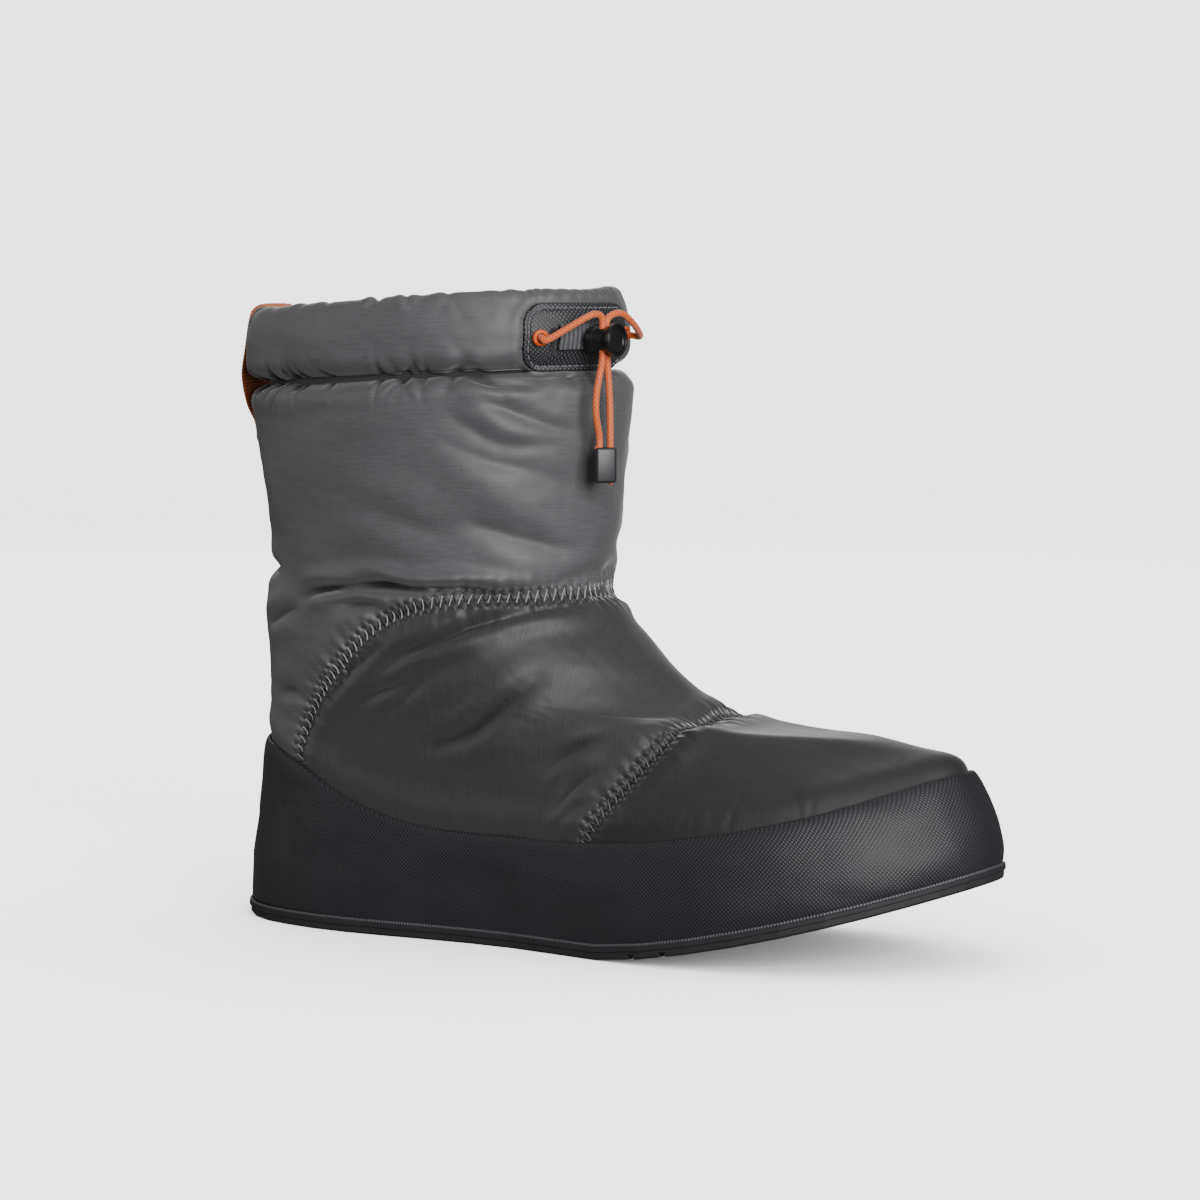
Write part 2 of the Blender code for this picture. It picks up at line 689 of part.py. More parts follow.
def build_lock_body():
    """The barrel: a neck that flares to the face, bored for the button and slotted for the cords."""
    counterbore = LOCK_LENGTH - LOCK_HEAD_THICKNESS - LOCK_TRAVEL - LOCK_RUNNING_GAP
    profile = [
        (LOCK_BORE_RADIUS, counterbore),
        (LOCK_HEAD_BORE_RADIUS, counterbore),
        (LOCK_HEAD_BORE_RADIUS, LOCK_LENGTH),
        (LOCK_FACE_RADIUS - 0.0004, LOCK_LENGTH),
        (LOCK_FACE_RADIUS, LOCK_LENGTH - 0.0004),
        (LOCK_FACE_RADIUS, LOCK_LENGTH - LOCK_HEAD_THICKNESS * 0.7),
        (LOCK_FACE_RADIUS - 0.0003, LOCK_LENGTH - LOCK_HEAD_THICKNESS),
        (LOCK_NECK_RADIUS, LOCK_BASE_LENGTH + 0.0006),
        (LOCK_BASE_RADIUS, LOCK_BASE_LENGTH),
        (LOCK_BASE_RADIUS, 0.0004),
        (LOCK_BASE_RADIUS - 0.0004, 0.0),
        (0.0, 0.0),
    ]
    inside = [(0.0, LOCK_FLOOR), (LOCK_BORE_RADIUS, LOCK_FLOOR)]
    body = turned("lock_body", inside + profile, "black_plastic")
    body.matrix_local = lock_frame()
    half = CORD_DIAMETER / 2 + CLEARANCE
    low, high = LOCK_CORD_HEIGHT - half, LOCK_CORD_HEIGHT + half
    cut(body, cord_slot("lock_body_slot", low, high, CORD_SPREAD + 2 * half))
    return body


def build_lock_button():
    """The sprung button: a round head with two finger notches, on a stem with a slot for the cords."""
    stem = LOCK_BORE_RADIUS - LOCK_RUNNING_GAP
    head = LOCK_HEAD_BORE_RADIUS - LOCK_RUNNING_GAP
    back = LOCK_FLOOR + LOCK_TRAVEL + 0.0006
    profile = [
        (0.0, LOCK_LENGTH + 0.0001),
        (head - 0.0004, LOCK_LENGTH + 0.0001),
        (head, LOCK_LENGTH - 0.0003),
        (head, LOCK_LENGTH - LOCK_HEAD_THICKNESS),
        (stem, LOCK_LENGTH - LOCK_HEAD_THICKNESS),
        (stem, back),
        (0.0, back),
    ]
    button = turned("lock_button", profile, "black_plastic")
    button.matrix_local = lock_frame()
    half = CORD_DIAMETER / 2 + CLEARANCE
    low = LOCK_CORD_HEIGHT - half
    high = LOCK_CORD_HEIGHT + half + LOCK_TRAVEL
    cut(button, cord_slot("lock_button_slot", low, high, CORD_SPREAD + 2 * half))
    bm = bmesh.new()
    for side in (-1, 1):
        notch = bmesh.ops.create_cube(bm, size=1)["verts"]
        bmesh.ops.scale(bm, vec=(0.0009, 0.0040, 0.0016), verts=notch)
        bmesh.ops.translate(bm, vec=(side * (head - 0.0007), 0, LOCK_LENGTH), verts=notch)
    bm.transform(lock_frame())
    cut(button, add_cutter("button_notches", bm))
    return button


def loop_line(angle):
    """The pull loop's middle line at one angle round the back of the collar."""
    lift = LOOP_GAP + LOOP_THICKNESS / 2
    top = surface(angle, TOP_RING)[2]
    start = level_at_height(angle, top - LOOP_INSIDE_LENGTH)
    inside = np.linspace(start, TOP_RING, 5)[:-1]
    points = [offset_surface(angle, level, -wall_at(level) - lift) for level in inside]
    for turn in np.radians(np.arange(180, -1, -22.5)):
        points.append(over_rim(angle, turn, lift))
    seam = surface(0.0, SEAM_RING)[2]
    foot = level_at_height(angle, seam - LOOP_FOOT_BELOW_SEAM)
    end = level_at_height(angle, seam - LOOP_FOOT_BELOW_SEAM - LOOP_SEWN_LENGTH)
    high, low = points[-1], offset_surface(angle, foot, lift)
    away = outward(angle, SEAM_RING) * (1, 1, 0)
    for share in np.linspace(0, 1, 12)[1:-1]:
        out = LOOP_BULGE * math.sin(math.pi * share**1.3)
        points.append(high + (low - high) * share + away * out)
    points += [offset_surface(angle, level, lift) for level in np.linspace(foot, end, 3)]
    return np.array(points)


def build_loop():
    """The pull loop: from inside the collar over its rim, then out and down to the shaft."""
    angles = np.arcsin(np.linspace(-1, 1, 5) * LOOP_WIDTH / SHAFT_WIDTH)
    lines = np.array([loop_line(angle) for angle in angles])
    along = np.gradient(lines, axis=1)
    across = np.gradient(lines, axis=0)
    face = np.cross(across, along)
    face *= LOOP_THICKNESS / 2 / np.linalg.norm(face, axis=-1, keepdims=True)
    back, front = lines - face, lines + face
    bm = bmesh.new()
    loops = [np.concatenate([back[:, i], front[::-1, i]]) for i in range(lines.shape[1])]
    rows = loft(bm, loops, closed=False)
    for row in (rows[0], rows[-1]):
        for i in range(len(angles) - 1):
            bm.faces.new((row[i], row[i + 1], row[-i - 2], row[-i - 1]))
    return add_object("pull_loop", bm, "orange_webbing")


def through(points, per_span):
    """A smooth line through hand-set points, with per_span steps between each two."""
    knots = np.arange(len(points))
    values = np.array(points, float)
    padded = np.vstack([2 * values[0] - values[1], values, 2 * values[-1] - values[-2]])
    steps = np.linspace(0, len(points) - 1, (len(points) - 1) * per_span + 1)
    wide = np.concatenate([[-1], knots, [len(points)]])
    return smooth(wide, padded, steps)


def cord_route(side):
    """One strand of the drawcord: out of its eyelet, over, down through the lock, down to the clip."""
    lock = lock_frame()
    clip = clip_frame()
    eyelet, normal = eyelet_place(side)
    bore = eyelet - normal * (PATCH_THICKNESS + EYELET_HOLE_DEPTH / 3)
    mouth = eyelet + normal * (2 * EYELET_RIM + 0.0004)
    strand = side * CORD_SPREAD / 2

    def by_lock(across, up, out):
        return lock @ Vector((across, up, out))

    top = LOCK_FACE_RADIUS + 0.0012
    across = lock.to_3x3() @ Vector((1, 0, 0))
    if side < 0:
        rise = [Vector(mouth + normal * 0.0030) + across * 0.0022]
        rise += [by_lock(-0.0085, 0.0080, 0.0030), by_lock(-0.0040, 0.0093, 0.0048)]
    else:
        rise = [Vector(mouth + normal * 0.0036) + across * 0.0004]
        rise += [by_lock(0.0150, 0.0056, 0.0076), by_lock(0.0075, 0.0096, 0.0072)]
    through_lock = [by_lock(strand, y, LOCK_CORD_HEIGHT) for y in (top, 0.0, -top)]
    end = clip @ Vector((strand * 1.3, CLIP_HEIGHT / 2 + CLEARANCE, 0))
    low = clip @ Vector((strand * 1.3, CLIP_HEIGHT / 2 + 0.004, 0))
    sway = lock.to_3x3() @ Vector((-0.0026 if side < 0 else 0.0004, 0, 0))
    hang = [through_lock[-1].lerp(low, share) + sway for share in (0.4, 0.7)]
    return [Vector(bore), Vector(mouth), *rise, *through_lock, *hang, low, end]


def clip_frame():
    """The cord end clip's place: straight below the cord lock's slot."""
    lock = lock_frame()
    hole = lock @ Vector((0, -LOCK_FACE_RADIUS, LOCK_CORD_HEIGHT))
    middle = hole - Vector((0, 0, CLIP_DROP - CLIP_HEIGHT / 2))
    facing = Vector((math.cos(CLIP_HEADING), math.sin(CLIP_HEADING), 0))
    return frame_at(middle, facing)


def build_cord(side, word):
    """A strand as a plain tube."""
    line = through(cord_route(side), CORD_STEPS)
    curve = bpy.data.curves.new("drawcord_" + word, "CURVE")
    curve.dimensions = "3D"
    curve.bevel_depth = CORD_DIAMETER / 2
    curve.bevel_resolution = 2
    curve.use_fill_caps = True
    spline = curve.splines.new("POLY")
    spline.points.add(len(line) - 1)
    for point, place in zip(spline.points, line):
        point.co = (*place, 1)
    curve.materials.append(material("orange_cord"))
    obj = bpy.data.objects.new("drawcord_" + word, curve)
    bootie.objects.link(obj)
    obj.parent = ground
    return obj


def build_clip():
    """The rectangular clip that grips both cord ends."""
    bm = bmesh.new()
    bmesh.ops.create_cube(bm, size=1)
    bmesh.ops.scale(bm, vec=(CLIP_WIDTH, CLIP_HEIGHT, CLIP_DEPTH), verts=bm.verts)
    bmesh.ops.bevel(
        bm, geom=bm.edges[:], offset=0.0009, segments=2, affect="EDGES", profile=0.5, material=-1
    )
    clip = add_object("cord_clip", bm, "black_plastic")
    clip.matrix_local = clip_frame()
    return clip


def centre_on_origin():
    """Moves the whole bootie so that the middle of its base is at the origin."""
    bpy.context.view_layer.update()
    graph = bpy.context.evaluated_depsgraph_get()
    low, high = Vector((1e9,) * 3), Vector((-1e9,) * 3)
    for obj in bootie.objects:
        if obj.type != "MESH" or obj.name == "cord_clip":
            continue
        for corner in obj.evaluated_get(graph).bound_box:
            place = obj.matrix_world @ Vector(corner)
            low = Vector(map(min, low, place))
            high = Vector(map(max, high, place))
    middle = (low + high) / 2
    ground.location = (-middle.x, -middle.y, -low.z)
    bpy.context.view_layer.update()


for old in list(bpy.data.objects):
    bpy.data.objects.remove(old)
bootie = bpy.data.collections.new("bootie")
cutters = bpy.data.collections.new("cutters")
bpy.context.scene.collection.children.link(bootie)
bpy.context.scene.collection.children.link(cutters)
ground = bpy.data.objects.new("ground", None)
bpy.context.scene.collection.objects.link(ground)

build_upper()
build_rand()
build_outsole()
build_insole()
build_patch()
build_eyelets()
build_tab()
build_lock_body()
build_lock_button()
build_loop()
build_cord(-1, "lateral")
build_cord(1, "medial")
build_clip()
centre_on_origin()
print("base middle at", tuple(round(v, 5) for v in ground.location))
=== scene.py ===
"""Looks of the insulated drawcord bootie: padded nylon, textured rand, orange cord and trim.

The upper's skin is the frame's own solid, made fine and then pushed in and out by creases, seams
and puckers. Creases are given in the shoe's own measures, in one of two zones.
In the leg zone a point is (degrees round the shaft, height in mm), with 0 at the front and
positive to the little-toe side. In the foot zone it is (mm along the shoe, degrees round the
foot's long axis), with 0 on the little-toe side, 90 on top and 180 on the big-toe side.
"""

import math
from collections import namedtuple

import bmesh
import bpy
import numpy as np
from bpy.props import FloatProperty, FloatVectorProperty, IntProperty, PointerProperty
from bpy.types import Operator, Panel, PropertyGroup
from mathutils import Matrix, Vector
from mathutils.bvhtree import BVHTree


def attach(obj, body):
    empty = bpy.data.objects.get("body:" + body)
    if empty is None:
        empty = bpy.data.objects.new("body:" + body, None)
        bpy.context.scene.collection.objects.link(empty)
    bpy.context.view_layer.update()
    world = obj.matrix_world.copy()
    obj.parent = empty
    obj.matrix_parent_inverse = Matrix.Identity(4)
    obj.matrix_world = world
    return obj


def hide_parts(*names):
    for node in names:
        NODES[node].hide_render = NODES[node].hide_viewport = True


bl_info = {
    "name": "Drawcord Bootie",
    "version": (1, 0, 0),
    "blender": (4, 5, 0),
    "location": "View3D > Sidebar > Bootie",
    "description": "Builds the looks of a padded drawcord bootie round its packed solids",
    "category": "Add Mesh",
}

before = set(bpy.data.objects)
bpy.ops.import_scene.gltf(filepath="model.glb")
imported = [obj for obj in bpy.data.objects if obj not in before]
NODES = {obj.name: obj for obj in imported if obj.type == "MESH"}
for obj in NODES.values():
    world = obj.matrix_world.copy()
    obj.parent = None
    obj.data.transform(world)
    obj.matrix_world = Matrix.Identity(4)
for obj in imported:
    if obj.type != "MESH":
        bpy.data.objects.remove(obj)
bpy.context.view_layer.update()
MM = 0.001
MERGE = 0.02 * MM

# The two axes that zones are measured round, in mm
LEG_AXIS_X = -71.6
FOOT_AXIS_Z = 30.0

# Seams: half of each, from the rand on the little-toe side to the middle. The other half mirrors it.
VAMP_SEAM = (
    (144, 60), (143, 67), (140, 75), (135, 82), (128, 89), (120, 95.5), (104, 107.5),
    (93, 115.5), (81, 121.5), (67, 126), (53, 128), (42, 128.5), (23, 129), (0, 129),
)
TOE_SEAM = ((13, 9), (14, 14), (18, 23), (26, 34), (34, 45), (41, 56), (45, 73), (46, 90))
COLLAR_SEAM_HEIGHT = 209.1
COLLAR_SEAM_TILT = 3.6

# Creases. depth is how far the trough sinks, width half its width, and lift how far the cloth
# puffs up beside it, all in mm.
Crease = namedtuple("Crease", "zone depth width lift points")
CREASES = (
    Crease(
        "leg", 4.2, 1.9, 2.6,
        ((128, 130), (112, 132.5), (92, 133), (74, 132), (56, 132.5), (38, 131), (20, 129)),
    ),
    Crease("leg", 3.4, 2.0, 1.6, ((134, 124), (124, 128.5), (108, 131), (97, 129))),
    Crease("leg", 2.0, 1.8, 0.9, ((116, 123.5), (101, 125), (84, 126))),
    Crease("leg", 1.8, 2.0, 1.0, ((158, 113), (144, 118), (130, 121.5))),
    Crease("leg", 1.6, 2.2, 1.0, ((176, 139), (160, 136), (146, 135))),
    Crease("leg", 1.2, 3.0, 1.2, ((66, 202), (50, 190), (34, 184), (14, 186))),
    Crease("leg", 1.2, 3.2, 1.2, ((70, 194), (50, 181), (31, 175), (10, 171))),
    Crease("leg", 0.9, 2.4, 0.8, ((52, 207), (40, 198), (30, 193), (12, 189))),
    Crease("leg", 1.0, 3.0, 1.0, ((66, 161), (44, 154.5), (20, 147), (4, 146))),
    Crease("leg", 0.7, 3.4, 0.8, ((112, 163), (98, 161), (77, 157), (43, 149.5))),
    Crease("leg", 1.2, 1.8, 0.8, ((60, 212), (48, 209.5), (38, 207.5), (27, 205))),
    Crease("leg", 1.3, 2.0, 0.8, ((156, 87), (146, 90), (134, 89))),
    Crease("leg", 0.9, 2.0, 0.6, ((24, 133), (10, 137), (-4, 134))),
    Crease("foot", 1.6, 2.0, 0.6, ((-102, 54), (-92, 55.5), (-76, 58), (-60, 60))),
    Crease("foot", 1.8, 2.0, 1.4, ((-82, 55), (-65, 57), (-45, 59.5), (-30, 64), (-18, 70))),
    Crease("foot", 1.4, 2.0, 1.0, ((-87, 52), (-71, 54), (-58, 55), (-38, 59))),
    Crease("foot", 1.2, 2.2, 1.0, ((-61, 41), (-47, 45), (-33, 48.5), (-12, 56))),
    Crease("foot", 1.2, 2.2, 1.0, ((-75, 49), (-60, 53), (-45, 56), (-27, 60))),
    Crease("foot", 1.0, 2.4, 1.0, ((-43, 45), (-27, 51), (-12, 58), (-4, 64))),
    Crease("foot", 1.3, 2.0, 0.8, ((-8, 38), (3, 45), (13, 50), (22, 54))),
    Crease("foot", 1.3, 2.0, 0.8, ((-9, 22), (3, 31), (11, 37.5), (23, 43))),
    Crease("foot", 1.0, 1.6, 0.6, ((-4, 18), (9, 26), (18, 30), (24, 35))),
    Crease("foot", 1.4, 2.0, 0.8, ((-46, 60), (-34, 63), (-22, 68), (-8, 76), (2, 88))),
)

# Creases of less depth than SHARP_FROM are SOFTNESS times as wide as given. FOLD_DEPTH is what
# a crease of depth 1 really sinks, in mm.
SOFTNESS = 1.2
SHARP_FROM = 3.0
FOLD_DEPTH = 1.6

# Front patch, in mm: its middle's direction, its size and what is sewn or set on it
PATCH_HEADING = 13.3
PATCH_MIDDLE_HEIGHT = 224.2
PATCH_SIZE = (53.5, 25.0)
PATCH_CORNER = 9.0
COLLAR_RADIUS = 74.0
COLLAR_FOOT_HEIGHT = 213.4
BARTACK_MIDDLE = (15.1, -0.9)
BARTACK_SIZE = (2.8, 8.6)

# Cord lock and cord end clip, in mm: the place of the lock's base and of the clip's middle
LOCK_BASE = (4.11, -20.54, 223.31)
LOCK_HEADING = -9.0
CLIP_MIDDLE = (9.54, -21.4, 177.61)
CLIP_HEADING = -46.0
CORD_DIAMETER = 2.5
CORD_ROUTES = {
    "lateral": (
        (-11.71, -33.14, 224.32), (-8.06, -36.62, 223.83), (-5.55, -36.50, 223.55),
        (5.75, -29.40, 231.31), (8.23, -25.24, 232.61), (9.29, -22.98, 230.71),
        (9.29, -22.98, 223.31), (9.29, -22.98, 215.91), (8.39, -25.49, 204.79),
        (8.02, -25.45, 196.45), (8.05, -22.84, 188.11), (8.05, -22.84, 184.41),
    ),
    "medial": (
        (2.42, 3.31, 225.04), (7.46, 3.71, 224.63), (11.10, 4.38, 224.33),
        (13.97, -6.91, 228.91), (12.40, -14.26, 232.91), (9.79, -19.82, 230.71),
        (9.79, -19.82, 223.31), (9.79, -19.82, 215.91), (10.36, -19.48, 204.79),
        (10.73, -19.52, 196.45), (11.04, -19.95, 188.11), (11.04, -19.95, 184.41),
    ),
}

# Pull loop, in mm: its line as pairs of x and z, and its width and thickness
LOOP_LINE = (
    (-139.3, 215.7), (-138.3, 220.7), (-138.4, 229.0), (-140.1, 233.3), (-144.3, 235.0),
    (-148.4, 233.3), (-150.2, 229.0), (-152.1, 218.4), (-153.6, 207.9), (-151.4, 197.3),
    (-147.8, 190.3), (-146.8, 183.3),
)
LOOP_SIZE = (20.0, 1.6)
LOOP_RIB = 1.35

# Sewing, in mm: zigzag over the panel seams and the running stitch round the patch
ZIGZAG_WIDTH = 4.6
ZIGZAG_PITCH = 3.5
THREAD_RADIUS = 0.27
PATCH_THREAD_RADIUS = 0.24
STITCH_PITCH = 2.8
STITCH_INSET = 2.1

# Cord lock as pairs of radius and height from its base, in mm, and the cords' slot in its barrel
LOCK_PROFILE = (
    (0, 0), (5.0, 0), (5.0, 2.6), (4.7, 3.0), (4.7, 3.8), (4.7, 4.65), (4.7, 5.5), (4.7, 6.35),
    (4.7, 7.2), (5.3, 8.5), (6.05, 9.9), (6.2, 11.5), (5.0, 11.5), (5.0, 9.4), (0, 9.4),
)
BUTTON_PROFILE = (
    (0, 9.6), (4.75, 9.6), (4.75, 11.2), (4.1, 11.2), (3.9, 10.7), (3.3, 10.7), (2.7, 10.7), (0, 10.7),
)
RING_PROFILE = ((3.1, -0.4), (3.1, 0.45), (2.6, 0.85), (2.0, 0.85), (1.5, 0.45), (1.5, -0.4))
EYELETS = {
    "lateral": ((-9.5, -35.24, 224.02), (0.7205, -0.6869, -0.0949)),
    "medial": ((5.47, 3.55, 224.79), (0.9936, 0.0773, -0.0823)),
}
CLIP_SIZE = (8.0, 13.0, 5.0)

# Rand, in mm: the pitch of its weave's diamonds and the height at which it is measured round
DIAMOND_PITCH = 1.55
OUTLINE_HEIGHT = 36

# Stage, in metres and watts
LAMPS = (
    ("key_light", (1.42, -1.15, 0.66), (0, 0, 0.12), 1.0, 54.0),
    ("fill_light", (-1.7, -0.9, 0.7), (0, 0, 0.12), 1.2, 6.0),
    ("back_light", (-1.0, 1.5, 1.0), (0, 0, 0.1), 1.2, 9.0),
    ("top_light", (0.1, 0.1, 2.2), (0, 0, 0), 1.5, 7.0),
)
CAMERA_PLACE = (0.6323, -1.2474, 0.247)
CAMERA_TARGET = (-0.0033, 0.0, 0.126)
CAMERA_LENS = 113.02
STAGE_PROFILE = ((0, 0), (2.4, 0), (2.9, 0.12), (3.3, 0.45), (3.55, 1.0), (3.6, 1.8), (3.6, 4.5))

# The skins that stitches and trim are laid on, filled in as they are built
TREES = {}


def linear(code):
    """A colour for a shader from its sRGB hex code."""
    channels = [int(code[i : i + 2], 16) / 255 for i in (0, 2, 4)]
    made = [c / 12.92 if c <= 0.04045 else ((c + 0.055) / 1.055) ** 2.4 for c in channels]
    return (*made, 1.0)


def chosen(name):
    """What the user set in the panel. A colour comes with its alpha."""
    value = getattr(bpy.context.scene.bootie, name)
    return value if isinstance(value, float) else (*value, 1.0)


def add(tree, kind, inputs=None, **settings):
    """Adds one shader node with its settings. inputs are values, or sockets to link from."""
    made = tree.nodes.new("ShaderNode" + kind)
    for name, value in settings.items():
        setattr(made, name, value)
    for name, value in (inputs or {}).items():
        if isinstance(value, bpy.types.NodeSocket):
            tree.links.new(value, made.inputs[name])
        else:
            made.inputs[name].default_value = value
    return made


def new_material(name, **values):
    """A material with its Principled shader's own values set."""
    made = bpy.data.materials.new(name)
    made.use_nodes = True
    shader = made.node_tree.nodes["Principled BSDF"]
    for key, value in values.items():
        shader.inputs[key.replace("_", " ")].default_value = value
    return made, made.node_tree, shader


def math_node(tree, operation, first, second=0.0):
    return add(tree, "Math", {0: first, 1: second}, operation=operation).outputs[0]


def times(tree, first, second):
    return math_node(tree, "MULTIPLY", first, second)


def plus(tree, first, second):
    return math_node(tree, "ADD", first, second)


def noise(tree, source, scale, detail=2.0):
    """Cloudy noise, with scale cells to each unit of the source."""
    return add(tree, "TexNoise", {"Vector": source, "Scale": scale, "Detail": detail}).outputs[0]


def uv_place(tree, name="uv"):
    """A UV map's place in mm."""
    return add(tree, "UVMap", uv_map=name).outputs[0]


def own_place(tree):
    """The place in the piece itself, in metres."""
    return add(tree, "TexCoord").outputs["Object"]


def attribute(tree, name):
    return add(tree, "Attribute", attribute_name=name).outputs["Fac"]


def ribs(tree, along, pitch):
    """Round ribs from 0 to 1, one to each pitch."""
    wave = math_node(tree, "SINE", times(tree, along, 2 * math.pi / pitch))
    return plus(tree, times(tree, wave, 0.5), 0.5)


def mix_colour(tree, factor, first, second):
    made = add(tree, "Mix", {0: factor, 6: first, 7: second}, data_type="RGBA")
    return made.outputs[2]


def set_material(obj, material):
    obj.data.materials.clear()
    obj.data.materials.append(material)


def new_mesh(name, bm, sharp=None):
    """A bmesh as a smooth mesh, with edges of more than sharp degrees kept sharp."""
    mesh = bpy.data.meshes.new(name)
    bm.to_mesh(mesh)
    bm.free()
    mesh.shade_smooth()
    if sharp:
        mesh.set_sharp_from_angle(angle=math.radians(sharp))
    return mesh


def new_object(name, data):
    """An object in the scene, at the origin."""
    obj = bpy.data.objects.new(name, data)
    bpy.context.scene.collection.objects.link(obj)
    return obj


def finish_piece(name, bm, material, replaced=(), sharp=40.0):
    """Turns a bmesh into a finished piece that rides on the shoe."""
    obj = new_object(name, new_mesh(name, bm, sharp))
    set_material(obj, material)
    settle(obj, replaced)
    return obj


def settle(obj, replaced=()):
    """Lets a piece ride and hides the solids that it stands for."""
    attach(obj, "root")
    if replaced:
        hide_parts(*replaced)


def merged(node):
    """A CAD node's mesh as one welded bmesh of mostly four-sided faces."""
    bm = bmesh.new()
    bm.from_mesh(NODES[node].data)
    bmesh.ops.remove_doubles(bm, verts=bm.verts, dist=MERGE)
    bmesh.ops.join_triangles(
        bm,
        faces=bm.faces,
        angle_face_threshold=math.radians(60),
        angle_shape_threshold=math.pi,
        topology_influence=1.0,
    )
    for layer in list(bm.loops.layers.uv.values()):
        bm.loops.layers.uv.remove(layer)
    return bm


def refined(bm, levels):
    """The bmesh after that many rounds of smooth subdivision."""
    mesh = bpy.data.meshes.new("cage")
    bm.to_mesh(mesh)
    bm.free()
    cage = new_object("cage", mesh)
    step = cage.modifiers.new("fine", "SUBSURF")
    step.levels = levels
    step.render_levels = levels
    step.use_limit_surface = False
    graph = bpy.context.evaluated_depsgraph_get()
    fine = bpy.data.meshes.new_from_object(cage.evaluated_get(graph))
    made = bmesh.new()
    made.from_mesh(fine)
    bpy.data.objects.remove(cage)
    bpy.data.meshes.remove(mesh)
    bpy.data.meshes.remove(fine)
    return made


def keep_faces(bm, kept):
    """Deletes all faces but those."""
    kept = set(kept)
    bmesh.ops.delete(bm, geom=[f for f in bm.faces if f not in kept], context="FACES")


def outer_faces(bm):
    """The faces of the upper that show outside: from the feather line up and over the rim."""
    start = max(bm.faces, key=lambda f: f.calc_center_median().x)
    axis = Vector((LEG_AXIS_X * MM, 0, 0))
    rim = 0.225
    seen = {start}
    queue = [start]
    while queue:
        face = queue.pop()
        for edge in face.edges:
            for other in edge.link_faces:
                if other in seen or edge.calc_face_angle(0) > math.radians(62):
                    continue
                middle = other.calc_center_median()
                away = (middle - axis) * Vector((1, 1, 0))
                turned_in = other.normal.dot(away.normalized()) < -0.5
                if middle.z > rim and turned_in and other.normal.z < 0.2:
                    continue
                seen.add(other)
                queue.append(other)
    return seen


def leg_zone(points):
    """Degrees round the shaft and height in mm of points in metres."""
    mm = points / MM
    return np.degrees(np.arctan2(-mm[:, 1], mm[:, 0] - LEG_AXIS_X)), mm[:, 2]


def foot_zone(points):
    """Millimetres along the shoe and degrees round the foot's long axis."""
    mm = points / MM
    return mm[:, 0], np.degrees(np.arctan2(mm[:, 2] - FOOT_AXIS_Z, -mm[:, 1]))


def skin_tree():
    """The upper's outer face as a tree for casting rays, before it is creased."""
    bm = merged("upper")
    keep_faces(bm, outer_faces(bm))
    tree = BVHTree.FromBMesh(bm)
    bm.free()
    return tree


SKIN = skin_tree()


def on_skin(zone, first, second):
    """The point in mm and the outward normal where a zone's measures meet the outer face."""
    if zone == "leg":
        turn = math.radians(first)
        origin = Vector((LEG_AXIS_X, 0, second))
        way = Vector((math.cos(turn), -math.sin(turn), 0))
    else:
        turn = math.radians(second)
        origin = Vector((first, 0, FOOT_AXIS_Z))
        way = Vector((0, -math.cos(turn), math.sin(turn)))
    point, normal, _, _ = SKIN.ray_cast(origin * MM, way)
    if point is None:
        raise RuntimeError(f"nothing of the upper lies at {zone} {first}, {second}")
    if normal.dot(way) < 0:
        normal = -normal
    return point / MM, normal


def through(points, per_span=6):
    """A smooth line through hand-set points of any dimension."""
    knots = np.array(points, float)
    ends = [2 * knots[0] - knots[1], 2 * knots[-1] - knots[-2]]
    wide = np.vstack([ends[:1], knots, ends[1:]])
    slopes = (wide[2:] - wide[:-2]) / 2
    made = []
    for i in range(len(knots) - 1):
        for t in np.arange(per_span) / per_span:
            made.append(
                (2 * t**3 - 3 * t**2 + 1) * knots[i]
                + (t**3 - 2 * t**2 + t) * slopes[i]
                + (3 * t**2 - 2 * t**3) * knots[i + 1]
                + (t**3 - t**2) * slopes[i + 1]
            )
    return np.array([*made, knots[-1]])


def evenly(line, step):
    """A line's points spaced evenly, about step apart."""
    run = lengths_along(line)
    count = max(2, round(run[-1] / step) + 1)
    at = np.linspace(0, run[-1], count)
    return np.stack([np.interp(at, run, line[:, k]) for k in range(line.shape[1])], 1)


def line_on_skin(zone, points, per_span=6, step=2.0):
    """A crease or seam as points and normals on the outer face, evenly spaced."""
    cast = [on_skin(zone, *p) for p in through(points, per_span)]
    both = np.array([[*point, *normal] for point, normal in cast])
    run = lengths_along(both[:, :3])
    at = np.linspace(0, run[-1], max(3, round(run[-1] / step) + 1))
    made = np.stack([np.interp(at, run, both[:, k]) for k in range(6)], 1)
    return made[:, :3], unit(made[:, 3:])


def mirrored(points, zone):
    """A crease's points on the other side of the shoe."""
    if zone == "leg":
        return [(-turn, height) for turn, height in points]
    return [(x, 180 - turn) for x, turn in points]


def both_halves(points, zone):
    return [*points, *mirrored(points, zone)[-2::-1]]


